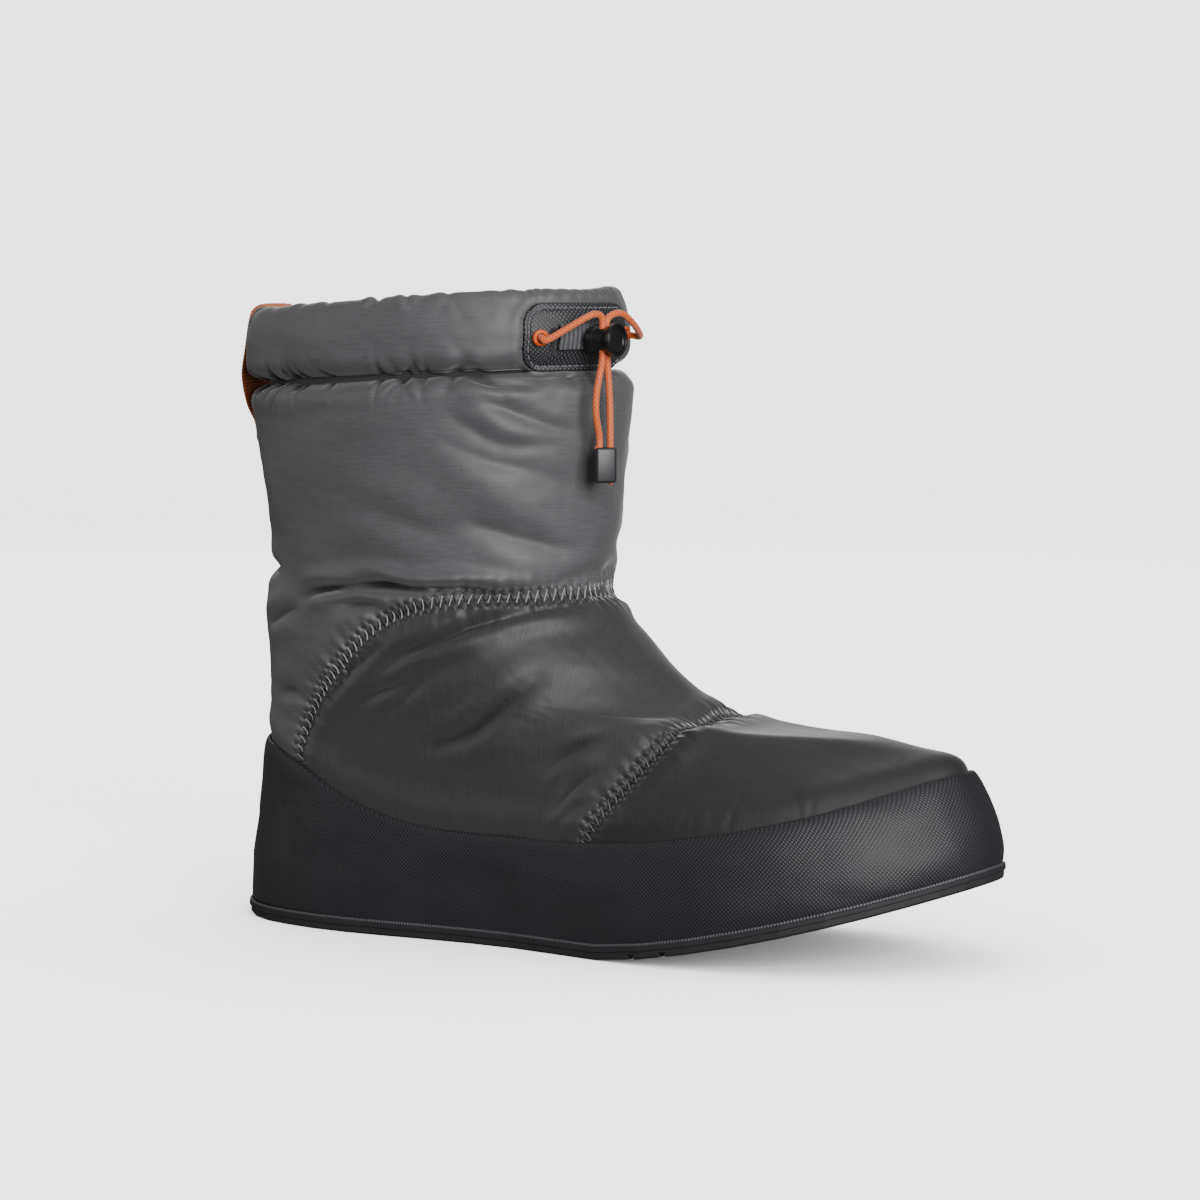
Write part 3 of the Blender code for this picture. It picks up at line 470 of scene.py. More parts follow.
def beside(points, line, normals, reach):
    """For points within reach of a line on the skin: which they are, their distance to its side
    (positive to the left of its run, seen from outside) and how far along it they lie."""
    low, high = line.min(0) - reach, line.max(0) + reach
    near = np.flatnonzero(((points > low) & (points < high)).all(1))
    picked = points[near]
    best = np.full(len(picked), 1e9)
    side = np.zeros(len(picked))
    along = np.zeros(len(picked))
    lengths = np.linalg.norm(np.diff(line, axis=0), axis=1)
    starts = np.concatenate([[0], np.cumsum(lengths)])
    for i in range(len(line) - 1):
        a, b = line[i], line[i + 1]
        way = (b - a) / lengths[i]
        t = np.clip((picked - a) @ way, 0, lengths[i])
        gap = picked - a - t[:, None] * way
        distance = np.linalg.norm(gap, axis=1)
        closer = distance < best
        across = np.cross(normals[i], way)
        best[closer] = distance[closer]
        side[closer] = np.sign(gap[closer] @ across) * distance[closer]
        along[closer] = starts[i] + t[closer]
    keep = best < reach
    return near[keep], side[keep], along[keep], starts[-1]


def waves(points, sizes, seed, count=7):
    """Smooth noise between about -1 and 1. sizes are its wave lengths in mm along X, Y and Z."""
    chance = np.random.default_rng(seed)
    total = np.zeros(len(points))
    for _ in range(count):
        way = chance.normal(size=3)
        way /= np.linalg.norm(way)
        scale = chance.uniform(0.6, 1.7)
        phase = chance.uniform(0, 2 * math.pi)
        total += np.sin((points / np.array(sizes)) @ way * 2 * math.pi * scale + phase)
    return total / math.sqrt(count)


def crease_shape(side, width, depth, lift):
    """Height over a crease: a soft-edged groove with a puffed bank on both sides."""
    groove = np.exp(-((np.abs(side) / width) ** 1.7))
    bank = np.exp(-(((np.abs(side) - 2.4 * width) / (1.7 * width)) ** 2))
    return 0.8 * lift * bank - depth * groove


def taper(along, whole, share=0.3):
    """1 along the middle of a crease, falling to 0 at its ends."""
    ends = np.minimum(along, whole - along) / (share * whole)
    ends = np.clip(ends, 0, 1)
    return ends * ends * (3 - 2 * ends)


def bell(value, middle, width):
    return np.exp(-(((value - middle) / width) ** 2))


def outline_gap(x, y):
    """Distance from the patch's outline, outside positive, of places across and up from its
    middle."""
    dx = np.abs(x) - (PATCH_SIZE[0] / 2 - PATCH_CORNER)
    dy = np.abs(y) - (PATCH_SIZE[1] / 2 - PATCH_CORNER)
    outside = np.hypot(np.maximum(dx, 0), np.maximum(dy, 0))
    return outside + np.minimum(np.maximum(dx, dy), 0) - PATCH_CORNER


def patch_distance(points):
    """Distance in mm outside the front patch's outline, negative under it, measured on the
    collar as it is unrolled."""
    turn, height = leg_zone(points * MM)
    across = np.radians(turn - PATCH_HEADING) * COLLAR_RADIUS
    gap = outline_gap(across, height - PATCH_MIDDLE_HEIGHT)
    return np.where(np.abs(turn - PATCH_HEADING) < 60, gap, 50.0)


def crease_relief(points):
    """How far each point in mm moves along its normal for the listed creases."""
    drift = np.stack([waves(points, (40, 40, 30), 40 + k) for k in range(3)], 1)
    warped = points + 0.8 * drift
    relief = np.zeros(len(points))
    deep = chosen("fold_depth") / MM
    for crease in CREASES:
        for flipped in (False, True):
            spots = mirrored(crease.points, crease.zone) if flipped else crease.points
            line, normals = line_on_skin(crease.zone, spots)
            near, side, along, whole = beside(warped, line, normals, 8 * crease.width)
            width = crease.width * (1.0 if crease.depth > SHARP_FROM else SOFTNESS)
            shape = crease_shape(side, width, deep * crease.depth, deep * crease.lift)
            relief[near] += shape * taper(along, whole, 0.45)
    return relief


def seam_distance(points, zone, half):
    """Signed distance in mm to a panel seam within 40 mm of it, and distance along it."""
    line, normals = line_on_skin(zone, both_halves(half, zone))
    near, side, along, whole = beside(points, line, normals, 40.0)
    distance = np.full(len(points), 40.0)
    distance[near] = np.abs(side)
    place_along = np.zeros(len(points))
    place_along[near] = along
    strokes = round(whole / (ZIGZAG_PITCH / 2)) / whole
    knots = np.array(sorted(half))
    if zone == "leg":
        turn, height = leg_zone(points * MM)
        inside = height < np.interp(np.abs(turn), knots[:, 0], knots[:, 1])
        inside &= np.abs(turn) < knots[-1, 0]
    else:
        x, turn = foot_zone(points * MM)
        folded = 90 - np.abs(90 - turn)
        knots = knots[np.argsort(knots[:, 1])]
        inside = x > np.interp(folded, knots[:, 1], knots[:, 0])
    return np.where(inside, distance, -distance), place_along, place_along * strokes


def seam_relief(distance, along, seed):
    """A sewn seam: a trough, a puffed bank and small puckers that run across it."""
    chance = np.random.default_rng(seed)
    phase = chance.uniform(0, 6, 3)
    ripple = np.sin(along * 2 * math.pi / 5.2 + phase[0]) + np.sin(along * 2 * math.pi / 8.7 + phase[1])
    ripple += 0.7 * np.sin(along * 2 * math.pi / 13.0 + phase[2])
    gap = np.abs(distance)
    trough = -1.5 * np.exp(-((gap / 3.4) ** 2)) - 0.7 * np.exp(-((gap / 1.2) ** 2))
    bank = 0.9 * bell(gap, 8.0, 5.0)
    puckers = 0.26 * ripple * np.exp(-(((gap - 4.5) / 3.6) ** 2))
    return trough + bank + puckers


def pleat_row(chance, across, up, count, lean, reaches, sizes, widths, bank):
    """Random pleats over a line where up is 0. reaches is how far they run up and down, and bank
    is the height, place and width of the puff beside each, as shares of its size and width."""
    total = np.zeros(len(up))
    for _ in range(count):
        middle = chance.uniform(-182, 182)
        slant = chance.uniform(-lean, lean)
        reach = chance.uniform(*reaches)
        size = chance.uniform(*sizes)
        width = chance.uniform(*widths)
        offset = across - middle - slant * up
        puff = bank[0] * bell(offset, bank[1] * width, bank[2] * width)
        total += size * (puff - bell(offset, 0, width)) * np.exp(-((up / reach) ** 2))
    return total


def collar_relief(points):
    """Gathers of the drawcord channel: pleats at the seam and on the rim, calm at the patch."""
    turn, height = leg_zone(points * MM)
    seam = COLLAR_SEAM_HEIGHT + COLLAR_SEAM_TILT * np.cos(np.radians(turn))
    up = height - seam
    round_mm = np.radians(turn) * 58.0
    chance = np.random.default_rng(5)
    pleats = pleat_row(
        chance, round_mm, up, 46, 0.9, (4.0, 9.0), (0.5, 1.4), (1.0, 2.2), (0.5, 2.4, 1.4)
    )
    pleats += pleat_row(
        chance, round_mm, up - 30, 40, 0.8, (5.0, 10.0), (0.3, 0.9), (1.3, 2.8), (0.6, 2.2, 1.5)
    )
    above = height - PATCH_MIDDLE_HEIGHT - PATCH_SIZE[1] / 2
    over_patch = bell(above, 3.0, 2.6) * np.clip(3 - np.abs(turn - PATCH_HEADING) / 8, 0, 1)
    drift = 2.6 * np.sin(round_mm / 5) + np.sin(round_mm / 2.3)
    fan = 0.5 + 0.5 * np.cos(round_mm * 2 * math.pi / 3.9 + drift)
    pleats -= 0.6 * over_patch * fan**2
    trough = -3.0 * np.exp(-((np.abs(up) / 1.7) ** 1.4)) + 0.9 * bell(np.abs(up), 6.5, 4.0)
    return trough + pleats


def toe_puckers(points):
    """Short upright puckers where the toe panel is drawn into the rand's edge."""
    x, turn = foot_zone(points * MM)
    folded = 90 - np.abs(90 - turn)
    chance = np.random.default_rng(11)
    total = np.zeros(len(points))
    edge = np.interp(x, (0, 40, 75, 105, 135), (12.0, 17.0, 24.0, 38.0, 60.0))
    up = (folded - edge) / 57.0 * 45.0
    for _ in range(34):
        middle = chance.uniform(-8, 112)
        lean = chance.uniform(-0.5, 0.5)
        reach = chance.uniform(4.0, 12.0)
        size = chance.uniform(0.15, 0.55)
        width = chance.uniform(0.8, 1.9)
        side = chance.choice((-1.0, 1.0))
        on_side = np.sign(90 - turn) == side
        offset = x - middle - lean * up
        total -= on_side * size * bell(offset, 0, width) * np.exp(-((np.abs(up) / reach) ** 2))
    return total


def relief_of(points):
    """The whole relief of the upper's skin in mm, and its panel distances."""
    turn, height = leg_zone(points * MM)
    vamp, vamp_along, vamp_strokes = seam_distance(points, "leg", VAMP_SEAM)
    toe, toe_along, toe_strokes = seam_distance(points, "foot", TOE_SEAM)
    relief = crease_relief(points)
    relief += seam_relief(vamp, vamp_along, 21)
    relief += np.where(vamp > 0, 1.0, 0.0) * seam_relief(toe, toe_along, 22) * 0.8
    relief += collar_relief(points)
    relief += toe_puckers(points)
    calm = 0.55 + 0.45 * np.clip((height - 60) / 60, 0, 1)
    relief += 0.55 * calm * waves(points, (48, 48, 24), 3)
    relief += 0.10 * waves(points, (22, 22, 9), 4)
    relief += 0.03 * waves(points, (9, 9, 5), 8)
    under = patch_distance(points)
    on_front = height > COLLAR_SEAM_HEIGHT
    still = np.where(on_front, np.clip(under / 2.0, 0, 1), 1.0)
    relief = relief * still + np.where(on_front, 0.35 * bell(under, 3.0, 2.0), 0.0)
    relief = np.where(on_front & (under < 0), -0.5, relief)
    rand_edge = rand_top(points[:, 0])
    tucked = np.clip((height - rand_edge + 2.0) / 9.0, 0, 1)
    lower = height < 95
    relief = np.where(lower, relief * tucked + 1.2 * bell(height - rand_edge, 7.0, 5.0), relief)
    seams = {"vamp_side": vamp, "toe_side": toe, "vamp_strokes": vamp_strokes, "toe_strokes": toe_strokes}
    return relief, seams


def rand_top(x):
    """Height in mm of the rand's top edge along the shoe."""
    knots = (-148, -137, -119, -107, -86, -59, -23, 7, 40, 70, 96, 123, 141)
    heights = (70, 69, 64.5, 59, 49.5, 42.5, 41.6, 42, 44.6, 49.2, 54.7, 63.3, 69.5)
    return np.interp(x, knots, heights)


def write_uv(mesh, name, u, v, period=0.0):
    """A UV map in mm from values at the vertices. period closes a map that runs right round."""
    loops = np.zeros(len(mesh.loops), np.int32)
    mesh.loops.foreach_get("vertex_index", loops)
    counts = np.zeros(len(mesh.polygons), np.int32)
    mesh.polygons.foreach_get("loop_total", counts)
    across = u[loops].copy()
    if period:
        first = np.repeat(across[np.concatenate([[0], np.cumsum(counts)[:-1]])], counts)
        across -= period * np.round((across - first) / period)
    layer = mesh.uv_layers.new(name=name)
    layer.data.foreach_set("uv", np.stack([across, v[loops]], 1).ravel().astype(np.float32))


def write_number(mesh, name, values):
    made = mesh.attributes.new(name, "FLOAT", "POINT")
    made.data.foreach_set("value", np.asarray(values, np.float32))


def vertex_values(mesh, key):
    """What all vertices have under a key: "co" for places, "normal" for normals."""
    made = np.zeros(len(mesh.vertices) * 3, np.float32)
    mesh.vertices.foreach_get(key, made)
    return made.reshape(-1, 3).astype(float)


def move_vertices(mesh, points):
    mesh.vertices.foreach_set("co", points.astype(np.float32).ravel())
    mesh.update()


def above_seam(bm):
    """The faces that lie above the collar seam."""
    above = []
    for face in bm.faces:
        middle = face.calc_center_median() / MM
        turn = math.atan2(-middle.y, middle.x - LEG_AXIS_X)
        if middle.z > COLLAR_SEAM_HEIGHT + COLLAR_SEAM_TILT * math.cos(turn):
            above.append(face)
    return above


def halve_long_columns(bm, longest):
    """Cuts in half every column of faces that is wider than longest anywhere."""
    rows = set()
    for edge in bm.edges:
        way = edge.verts[1].co - edge.verts[0].co
        if way.length > longest and abs(way.z) < 0.7 * way.length:
            rows.add(edge)
    grown = set(rows)
    queue = list(rows)
    while queue:
        edge = queue.pop()
        for face in edge.link_faces:
            if len(face.verts) != 4:
                continue
            for other in face.edges:
                if not set(other.verts) & set(edge.verts) and other not in grown:
                    grown.add(other)
                    queue.append(other)
    bmesh.ops.subdivide_edges(bm, edges=list(grown), cuts=1, use_grid_fill=True)


def nylon_material():
    """Calendered nylon taffeta over wadding: silky, with a broad soft shine, threads that show as
    fine streaks along the weft, and panels in three greys. Its colour carries painted shade, darker
    in the creases' troughs and nearly black at the needle holes."""
    made, tree, shader = new_material(
        "calendered_nylon", Roughness=0.52, Sheen_Weight=0.3, Sheen_Roughness=0.4
    )
    vamp = attribute(tree, "vamp_side")
    toe = attribute(tree, "toe_side")
    crease = attribute(tree, "crease")
    leg = uv_place(tree, "leg")
    foot = uv_place(tree, "foot")
    on_vamp = math_node(tree, "GREATER_THAN", vamp, 0.0)
    on_toe = times(tree, math_node(tree, "GREATER_THAN", toe, 0.0), on_vamp)
    cloth = add(tree, "Mix", {0: on_vamp, 4: leg, 5: foot}, data_type="VECTOR").outputs[1]
    streaks = add(tree, "Mapping", {0: cloth, "Scale": (0.13, 1.5, 1.0)}).outputs[0]
    weft = noise(tree, streaks, 1.0, 3.0)
    upright = add(tree, "Mapping", {0: cloth, "Scale": (1.7, 0.15, 1.0)}).outputs[0]
    warp = noise(tree, upright, 1.0)
    blotch = noise(tree, cloth, 0.035)
    grey = mix_colour(tree, on_vamp, chosen("shaft_colour"), chosen("vamp_colour"))
    grey = mix_colour(tree, on_toe, grey, chosen("toe_colour"))
    shade = plus(tree, times(tree, weft, 0.6), 0.53)
    shade = plus(tree, shade, times(tree, warp, 0.26))
    shade = plus(tree, shade, times(tree, blotch, 0.10))
    # Painted shade: the nylon darkens with the relief, to a fifth of its tone in the deepest crease
    # troughs.
    dark = add(tree, "MapRange", {0: crease, 1: -3.5, 2: -0.4, 3: 0.2, 4: 1.0}).outputs[0]
    shade = times(tree, shade, dark)
    tint = add(tree, "CombineColor", {0: shade, 1: shade, 2: shade}).outputs[0]
    colour = add(
        tree, "Mix", {0: 1.0, 6: grey, 7: tint}, data_type="RGBA", blend_type="MULTIPLY"
    ).outputs[2]
    rough = add(tree, "MapRange", {0: weft, 1: 0.3, 2: 0.7, 3: 0.52, 4: 0.62}).outputs[0]
    threads = plus(tree, weft, times(tree, warp, 0.6))
    bump = add(tree, "Bump", {"Strength": 0.35, "Distance": 0.12 * MM, "Height": threads})
    pulls = [sewn_pull(tree, name) for name in ("vamp", "toe")]
    pull = plus(tree, pulls[0], times(tree, pulls[1], on_vamp))
    # Painted shade: near-black is mixed into the colour at the needle holes, where the cloth is drawn
    # down.
    hole_shade = add(tree, "MapRange", {0: pull, 1: 0.45, 2: 0.8, 3: 1.0, 4: 0.35}).outputs[0]
    colour = mix_colour(tree, hole_shade, (0.002, 0.002, 0.002, 1), colour)
    sewn = add(
        tree, "Bump",
        {"Strength": 0.8, "Distance": -0.8 * MM, "Height": pull, "Normal": bump.outputs[0]},
    )
    tree.links.new(colour, shader.inputs["Base Color"])
    tree.links.new(rough, shader.inputs["Roughness"])
    tree.links.new(sewn.outputs[0], shader.inputs["Normal"])
    return made


def sewn_pull(tree, seam):
    """Cloth drawn down at a seam's needle holes and puffed up between them: 1 at a hole."""
    side = attribute(tree, seam + "_side")
    strokes = attribute(tree, seam + "_strokes")
    swing = math_node(tree, "COSINE", times(tree, strokes, math.pi))
    level = times(tree, math_node(tree, "SIGN", side), swing)
    gap = math_node(tree, "SUBTRACT", math_node(tree, "ABSOLUTE", side), 0.55 * ZIGZAG_WIDTH)
    near = times(tree, gap, gap)
    near = math_node(tree, "EXPONENT", times(tree, near, -0.9))
    return times(tree, near, level)


def dress_skin(name, bm, replaced=()):
    """Creases a fine copy of the upper's outer face and gives it its maps and material."""
    mesh = new_mesh(name, bm)
    points = vertex_values(mesh, "co") / MM
    normals = vertex_values(mesh, "normal")
    relief, seams = relief_of(points)
    move_vertices(mesh, (points + normals * relief[:, None]) * MM)
    turn, height = leg_zone(points * MM)
    along, round_foot = foot_zone(points * MM)
    write_uv(mesh, "leg", np.radians(turn) * 57.3, height, 360.0)
    write_uv(mesh, "foot", round_foot * 0.8, along)
    for key, values in seams.items():
        write_number(mesh, key, values)
    # The relief is kept as 'crease' only to paint shade into the nylon's troughs.
    write_number(mesh, "crease", relief)
    obj = new_object(name, mesh)
    set_material(obj, bpy.data.materials.get("calendered_nylon") or nylon_material())
    settle(obj, replaced)
    return obj


class BOOTIE_OT_shell(Operator):
    """Build the creased nylon shell, the gathered collar and the lining"""

    bl_idname = "bootie.shell"
    bl_label = "Shell, collar and lining"

    def execute(self, context):
        bm = merged("upper")
        outside = outer_faces(bm)
        inside = bm.copy()
        marks = [f in outside for f in bm.faces]
        inside.faces.ensure_lookup_table()
        keep_faces(bm, outside)
        keep_faces(inside, [f for f, mark in zip(inside.faces, marks) if not mark])
        TREES["collar"] = BVHTree.FromBMesh(refined(bm.copy(), 2))
        collar = bm.copy()
        bmesh.ops.delete(bm, geom=above_seam(bm), context="FACES")
        keep_faces(collar, above_seam(collar))
        halve_long_columns(bm, 14.0 * MM)
        levels = context.scene.bootie.skin_levels
        collar = refined(collar, levels)
        shell = dress_skin("shell", refined(bm, levels), ("upper",))
        TREES["shell"] = tree_of(shell)
        dress_skin("collar_roll", collar)
        finish_piece("lining", refined(inside, 1), fleece_material())
        footbed = finish_piece(
            "footbed", refined(merged("insole"), 1), bpy.data.materials["brushed_lining"],
            ("insole",),
        )
        return {"FINISHED"}


def fleece_material():
    """Brushed polyester lining: matt, nearly black, with a short nap."""
    made, tree, shader = new_material("brushed_lining", Roughness=0.95, Sheen_Weight=0.3)
    place_in = own_place(tree)
    nap = noise(tree, place_in, 900.0, 4.0)
    colour = mix_colour(tree, nap, linear("1B1B1D"), linear("303033"))
    bump = add(tree, "Bump", {"Strength": 0.5, "Distance": 0.4 * MM, "Height": nap})
    tree.links.new(colour, shader.inputs["Base Color"])
    tree.links.new(bump.outputs[0], shader.inputs["Normal"])
    return made


def tree_of(obj):
    bm = bmesh.new()
    bm.from_mesh(obj.data)
    tree = BVHTree.FromBMesh(bm)
    bm.free()
    return tree


def mapped_grid(columns, rows, size, place, capped=False, outward=None):
    """A grid laid by place(u, v), which takes two arrays that run from 0 to 1 and gives points in
    mm. Its UV map is size across. Borders that meet are welded, and open ends can be capped."""
    bm = bmesh.new()
    bmesh.ops.create_grid(bm, x_segments=columns, y_segments=rows, size=0.5)
    layer = bm.loops.layers.uv.new("uv")
    for face in bm.faces:
        for loop in face.loops:
            u, v = loop.vert.co.x + 0.5, loop.vert.co.y + 0.5
            loop[layer].uv = (u * size[0], v * size[1])
    spots = np.array([v.co for v in bm.verts]) + 0.5
    for vert, point in zip(bm.verts, place(spots[:, 0], spots[:, 1])):
        vert.co = Vector(point) * MM
    bmesh.ops.remove_doubles(bm, verts=bm.verts, dist=MERGE)
    if capped:
        bmesh.ops.holes_fill(bm, edges=[e for e in bm.edges if e.is_boundary], sides=0)
    bmesh.ops.recalc_face_normals(bm, faces=bm.faces)
    if outward is not None:
        facing = sum(f.normal.dot(outward) for f in bm.faces)
        if facing < 0:
            bmesh.ops.reverse_faces(bm, faces=bm.faces)
    return bm


def lengths_along(path):
    return np.concatenate([[0], np.cumsum(np.linalg.norm(np.diff(path, axis=0), axis=1))])


def unit(vectors):
    return vectors / np.linalg.norm(vectors, axis=-1, keepdims=True)


def frames_along(path):
    """Two directions square to a path at each of its points, turned as little as can be."""
    ways = unit(np.gradient(path, axis=0))
    side = np.cross(ways[0], (0.3, 0.5, 0.8))
    sides = []
    for way in ways:
        side = unit(side - way * (side @ way))
        sides.append(side)
    sides = np.array(sides)
    return sides, np.cross(ways, sides)


def tube(path, radius, sides=10, size=None):
    """A round tube along a path in mm, with rounded ends and a UV map in mm."""
    side, up = frames_along(path)
    run = lengths_along(path)
    gap = np.clip(1 - np.minimum(run, run[-1] - run) / radius, 0, 1)
    swell = radius * np.sqrt(1 - gap**2)
    rows = len(path) - 1

    def laid(u, v):
        step = np.rint(u * rows).astype(int)
        angle = v[:, None] * 2 * math.pi
        reach = side[step] * np.cos(angle) + up[step] * np.sin(angle)
        return path[step] + swell[step][:, None] * reach

    return mapped_grid(rows, sides, size or (run[-1], 2 * math.pi * radius), laid)


def on_tree(tree, points, normals, reach=8.0):
    """Points in mm dropped along their normals onto a piece."""
    made = []
    for point, normal in zip(points, normals):
        start = Vector(point + normal * reach) * MM
        hit = tree.ray_cast(start, Vector(-normal), 2 * reach * MM)[0]
        made.append(point if hit is None else np.array(hit) / MM)
    return np.array(made)


def zigzag(zone, half, strokes_per_row=8):
    """One sewing thread that swings from side to side over a panel seam and dips at each hole."""
    line, normals = line_on_skin(zone, both_halves(half, zone), step=ZIGZAG_PITCH / 2)
    across = unit(np.cross(normals, np.gradient(line, axis=0)))
    swing = np.where(np.arange(len(line)) % 2, 0.5, -0.5) * ZIGZAG_WIDTH
    knots = line + across * swing[:, None]
    share = np.arange(strokes_per_row) / strokes_per_row
    spots = np.array([a + t * (b - a) for a, b in zip(knots, knots[1:]) for t in share])
    facing = np.array([a + t * (b - a) for a, b in zip(normals, normals[1:]) for t in share])
    facing = unit(facing)
    lift = np.tile(0.95 * np.sin(share * math.pi) ** 0.6 - 0.5, len(knots) - 1)
    path = on_tree(TREES["shell"], spots, facing) + facing * lift[:, None]
    return tube(path, chosen("thread_radius") / MM, 7, (len(knots) - 1, 1.0))


def collar_place(across, up, lift):
    """Points in mm on the smooth collar, from mm across (positive to the little-toe side) and up
    from the patch's middle, moved out by lift, and the collar's normals there. Below the collar's
    foot the surface goes straight down."""
    turn = np.radians(PATCH_HEADING + np.degrees(across / COLLAR_RADIUS))
    points = []
    normals = []
    for angle, height in zip(turn, PATCH_MIDDLE_HEIGHT + up):
        way = Vector((math.cos(angle), -math.sin(angle), 0))
        held = max(height, COLLAR_FOOT_HEIGHT)
        start = Vector((LEG_AXIS_X, 0, held)) * MM + way * 0.12
        point, normal, _, _ = TREES["collar"].ray_cast(start, -way, 0.09)
        if point is None:
            # A ray that meets nothing takes its depth from the nearest skin.
            near = TREES["collar"].find_nearest(start - way * 0.058)[0]
            point = start + way * (near - start).dot(way)
            normal = way
        points.append(point / MM + Vector((0, 0, height - held)))
        normals.append(normal if normal.dot(way) > 0 else -normal)
    normals = np.array(normals)
    return np.array(points) + normals * lift[:, None], normals


def rounded_box(a, b, wide, tall, corner):
    """Points of a square from -1 to 1 spread over a rectangle with round corners."""
    ring = np.maximum(np.maximum(np.abs(a), np.abs(b)), 1e-6)
    x, y = a / ring * wide / 2, b / ring * tall / 2
    over_x = np.abs(x) - (wide / 2 - corner)
    over_y = np.abs(y) - (tall / 2 - corner)
    in_corner = (over_x > 0) & (over_y > 0)
    reach = np.maximum(np.hypot(over_x, over_y), 1e-6)
    x = np.where(in_corner, np.sign(x) * (wide / 2 - corner + over_x / reach * corner), x)
    y = np.where(in_corner, np.sign(y) * (tall / 2 - corner + over_y / reach * corner), y)
    return x * ring, y * ring


def patch_outline(inset, step):
    """The patch's outline, moved in by inset, as mm across and up."""
    turns = np.linspace(0, 2 * math.pi, 721)
    a, b = np.cos(turns), np.sin(turns)
    ring = np.maximum(np.abs(a), np.abs(b))
    x, y = rounded_box(
        a / ring, b / ring, PATCH_SIZE[0] - 2 * inset, PATCH_SIZE[1] - 2 * inset, PATCH_CORNER - inset
    )
    return evenly(np.stack([x, y], 1), step)


def patch_lift(x, y):
    """How far the patch stands off the collar: a rolled edge and a trough under its stitches."""
    inset = -outline_gap(x, y)
    edge = np.sqrt(np.clip(1 - (1 - np.clip(inset / 1.1, 0, 1)) ** 2, 0, 1))
    quilt = 0.10 * np.sin(x / 3.1) * np.sin(y / 2.7 + 1)
    return -0.5 + 1.5 * edge - 0.4 * bell(inset, STITCH_INSET, 0.7) + quilt * (inset > 3)


def rounded(profile, size, steps=3):
    """A profile with its corners rounded off over size mm."""
    points = np.array(profile, float)
    made = [points[0]]
    for before, corner, after in zip(points, points[1:], points[2:]):
        back, on = before - corner, after - corner
        bend = abs(np.cross(back, on)) / np.linalg.norm(back) / np.linalg.norm(on)
        if bend < 0.05:
            made.append(corner)
            continue
        cut = min(size, 0.45 * np.linalg.norm(back), 0.45 * np.linalg.norm(on))
        start, end = corner + unit(back) * cut, corner + unit(on) * cut
        for t in np.linspace(0, 1, steps + 1):
            made.append((1 - t) ** 2 * start + 2 * t * (1 - t) * corner + t**2 * end)
    return [*made, points[-1]]


def spun(profile, steps=48, scale=MM):
    """A profile of radii and heights spun into a closed body round the Z axis."""
    bm = bmesh.new()
    verts = [bm.verts.new((r * scale, 0, z * scale)) for r, z in profile]
    edges = [bm.edges.new(pair) for pair in zip(verts, verts[1:])]
    if profile[0][0] > 0:
        edges.append(bm.edges.new((verts[-1], verts[0])))
    bmesh.ops.spin(
        bm,
        geom=[*verts, *edges],
        cent=(0, 0, 0),
        axis=(0, 0, 1),
        angle=2 * math.pi,
        steps=steps,
        use_merge=True,
    )
    bmesh.ops.remove_doubles(bm, verts=bm.verts, dist=MERGE)
    bmesh.ops.recalc_face_normals(bm, faces=bm.faces)
    return bm


def stand(bm, origin, out):
    """Moves a body made round the Z axis so that it points out from origin, in mm."""
    turn = Vector(out).to_track_quat("Z", "Y").to_matrix().to_4x4()
    matrix = Matrix.Translation(Vector(origin) * MM) @ turn
    bmesh.ops.transform(bm, matrix=matrix, verts=bm.verts)
    return bm


def sink(bm, faces, scale, shift):
    """Presses faces in: they are extruded, scaled about the Z axis and shifted along it."""
    made = bmesh.ops.extrude_face_region(bm, geom=faces)
    verts = [v for v in made["geom"] if isinstance(v, bmesh.types.BMVert)]
    bmesh.ops.scale(bm, vec=(scale, scale, 1), verts=verts)
    bmesh.ops.translate(bm, vec=(0, 0, shift * MM), verts=verts)


def facing_out(heading):
    return (math.cos(math.radians(heading)), math.sin(math.radians(heading)), 0)


def lattice(tree, source, wide, tall):
    """Rows of diamonds, 1 in their middles and 0 between them, wide and tall in mm."""
    parts = add(tree, "SeparateXYZ", {0: source})
    x = times(tree, parts.outputs[0], math.pi / wide)
    y = times(tree, parts.outputs[1], math.pi / tall)
    first = math_node(tree, "SINE", plus(tree, x, y))
    second = math_node(tree, "SINE", math_node(tree, "SUBTRACT", x, y))
    return math_node(tree, "ABSOLUTE", times(tree, first, second))


def finish_shader(tree, shader, colour, height, depth, strength=0.6):
    """Links a colour and a bump of that depth in mm."""
    bump = add(tree, "Bump", {"Strength": strength, "Distance": depth * MM, "Height": height})
    tree.links.new(colour, shader.inputs["Base Color"])
    tree.links.new(bump.outputs[0], shader.inputs["Normal"])


def thread_material(name, light, dark):
    """Twisted polyester sewing thread, with a painted highlight: every other stroke takes the light
    colour, standing in for the glint on strokes that face the light.
    """
    made, tree, shader = new_material(name, Roughness=0.38, Sheen_Weight=0.2)
    source = uv_place(tree)
    along = add(tree, "SeparateXYZ", {0: source}).outputs[0]
    glint_stroke = math_node(tree, "GREATER_THAN", math_node(tree, "MODULO", along, 2.0), 1.0)
    twist = add(tree, "Mapping", {0: source, "Scale": (14.0, 3.0, 1.0), "Rotation": (0, 0, 0.6)})
    ply = add(tree, "TexWave", {"Vector": twist.outputs[0], "Scale": 1.0, "Distortion": 0.4})
    colour = mix_colour(tree, glint_stroke, linear(light), linear(dark))
    finish_shader(tree, shader, colour, ply.outputs[1], 0.08)
    return made


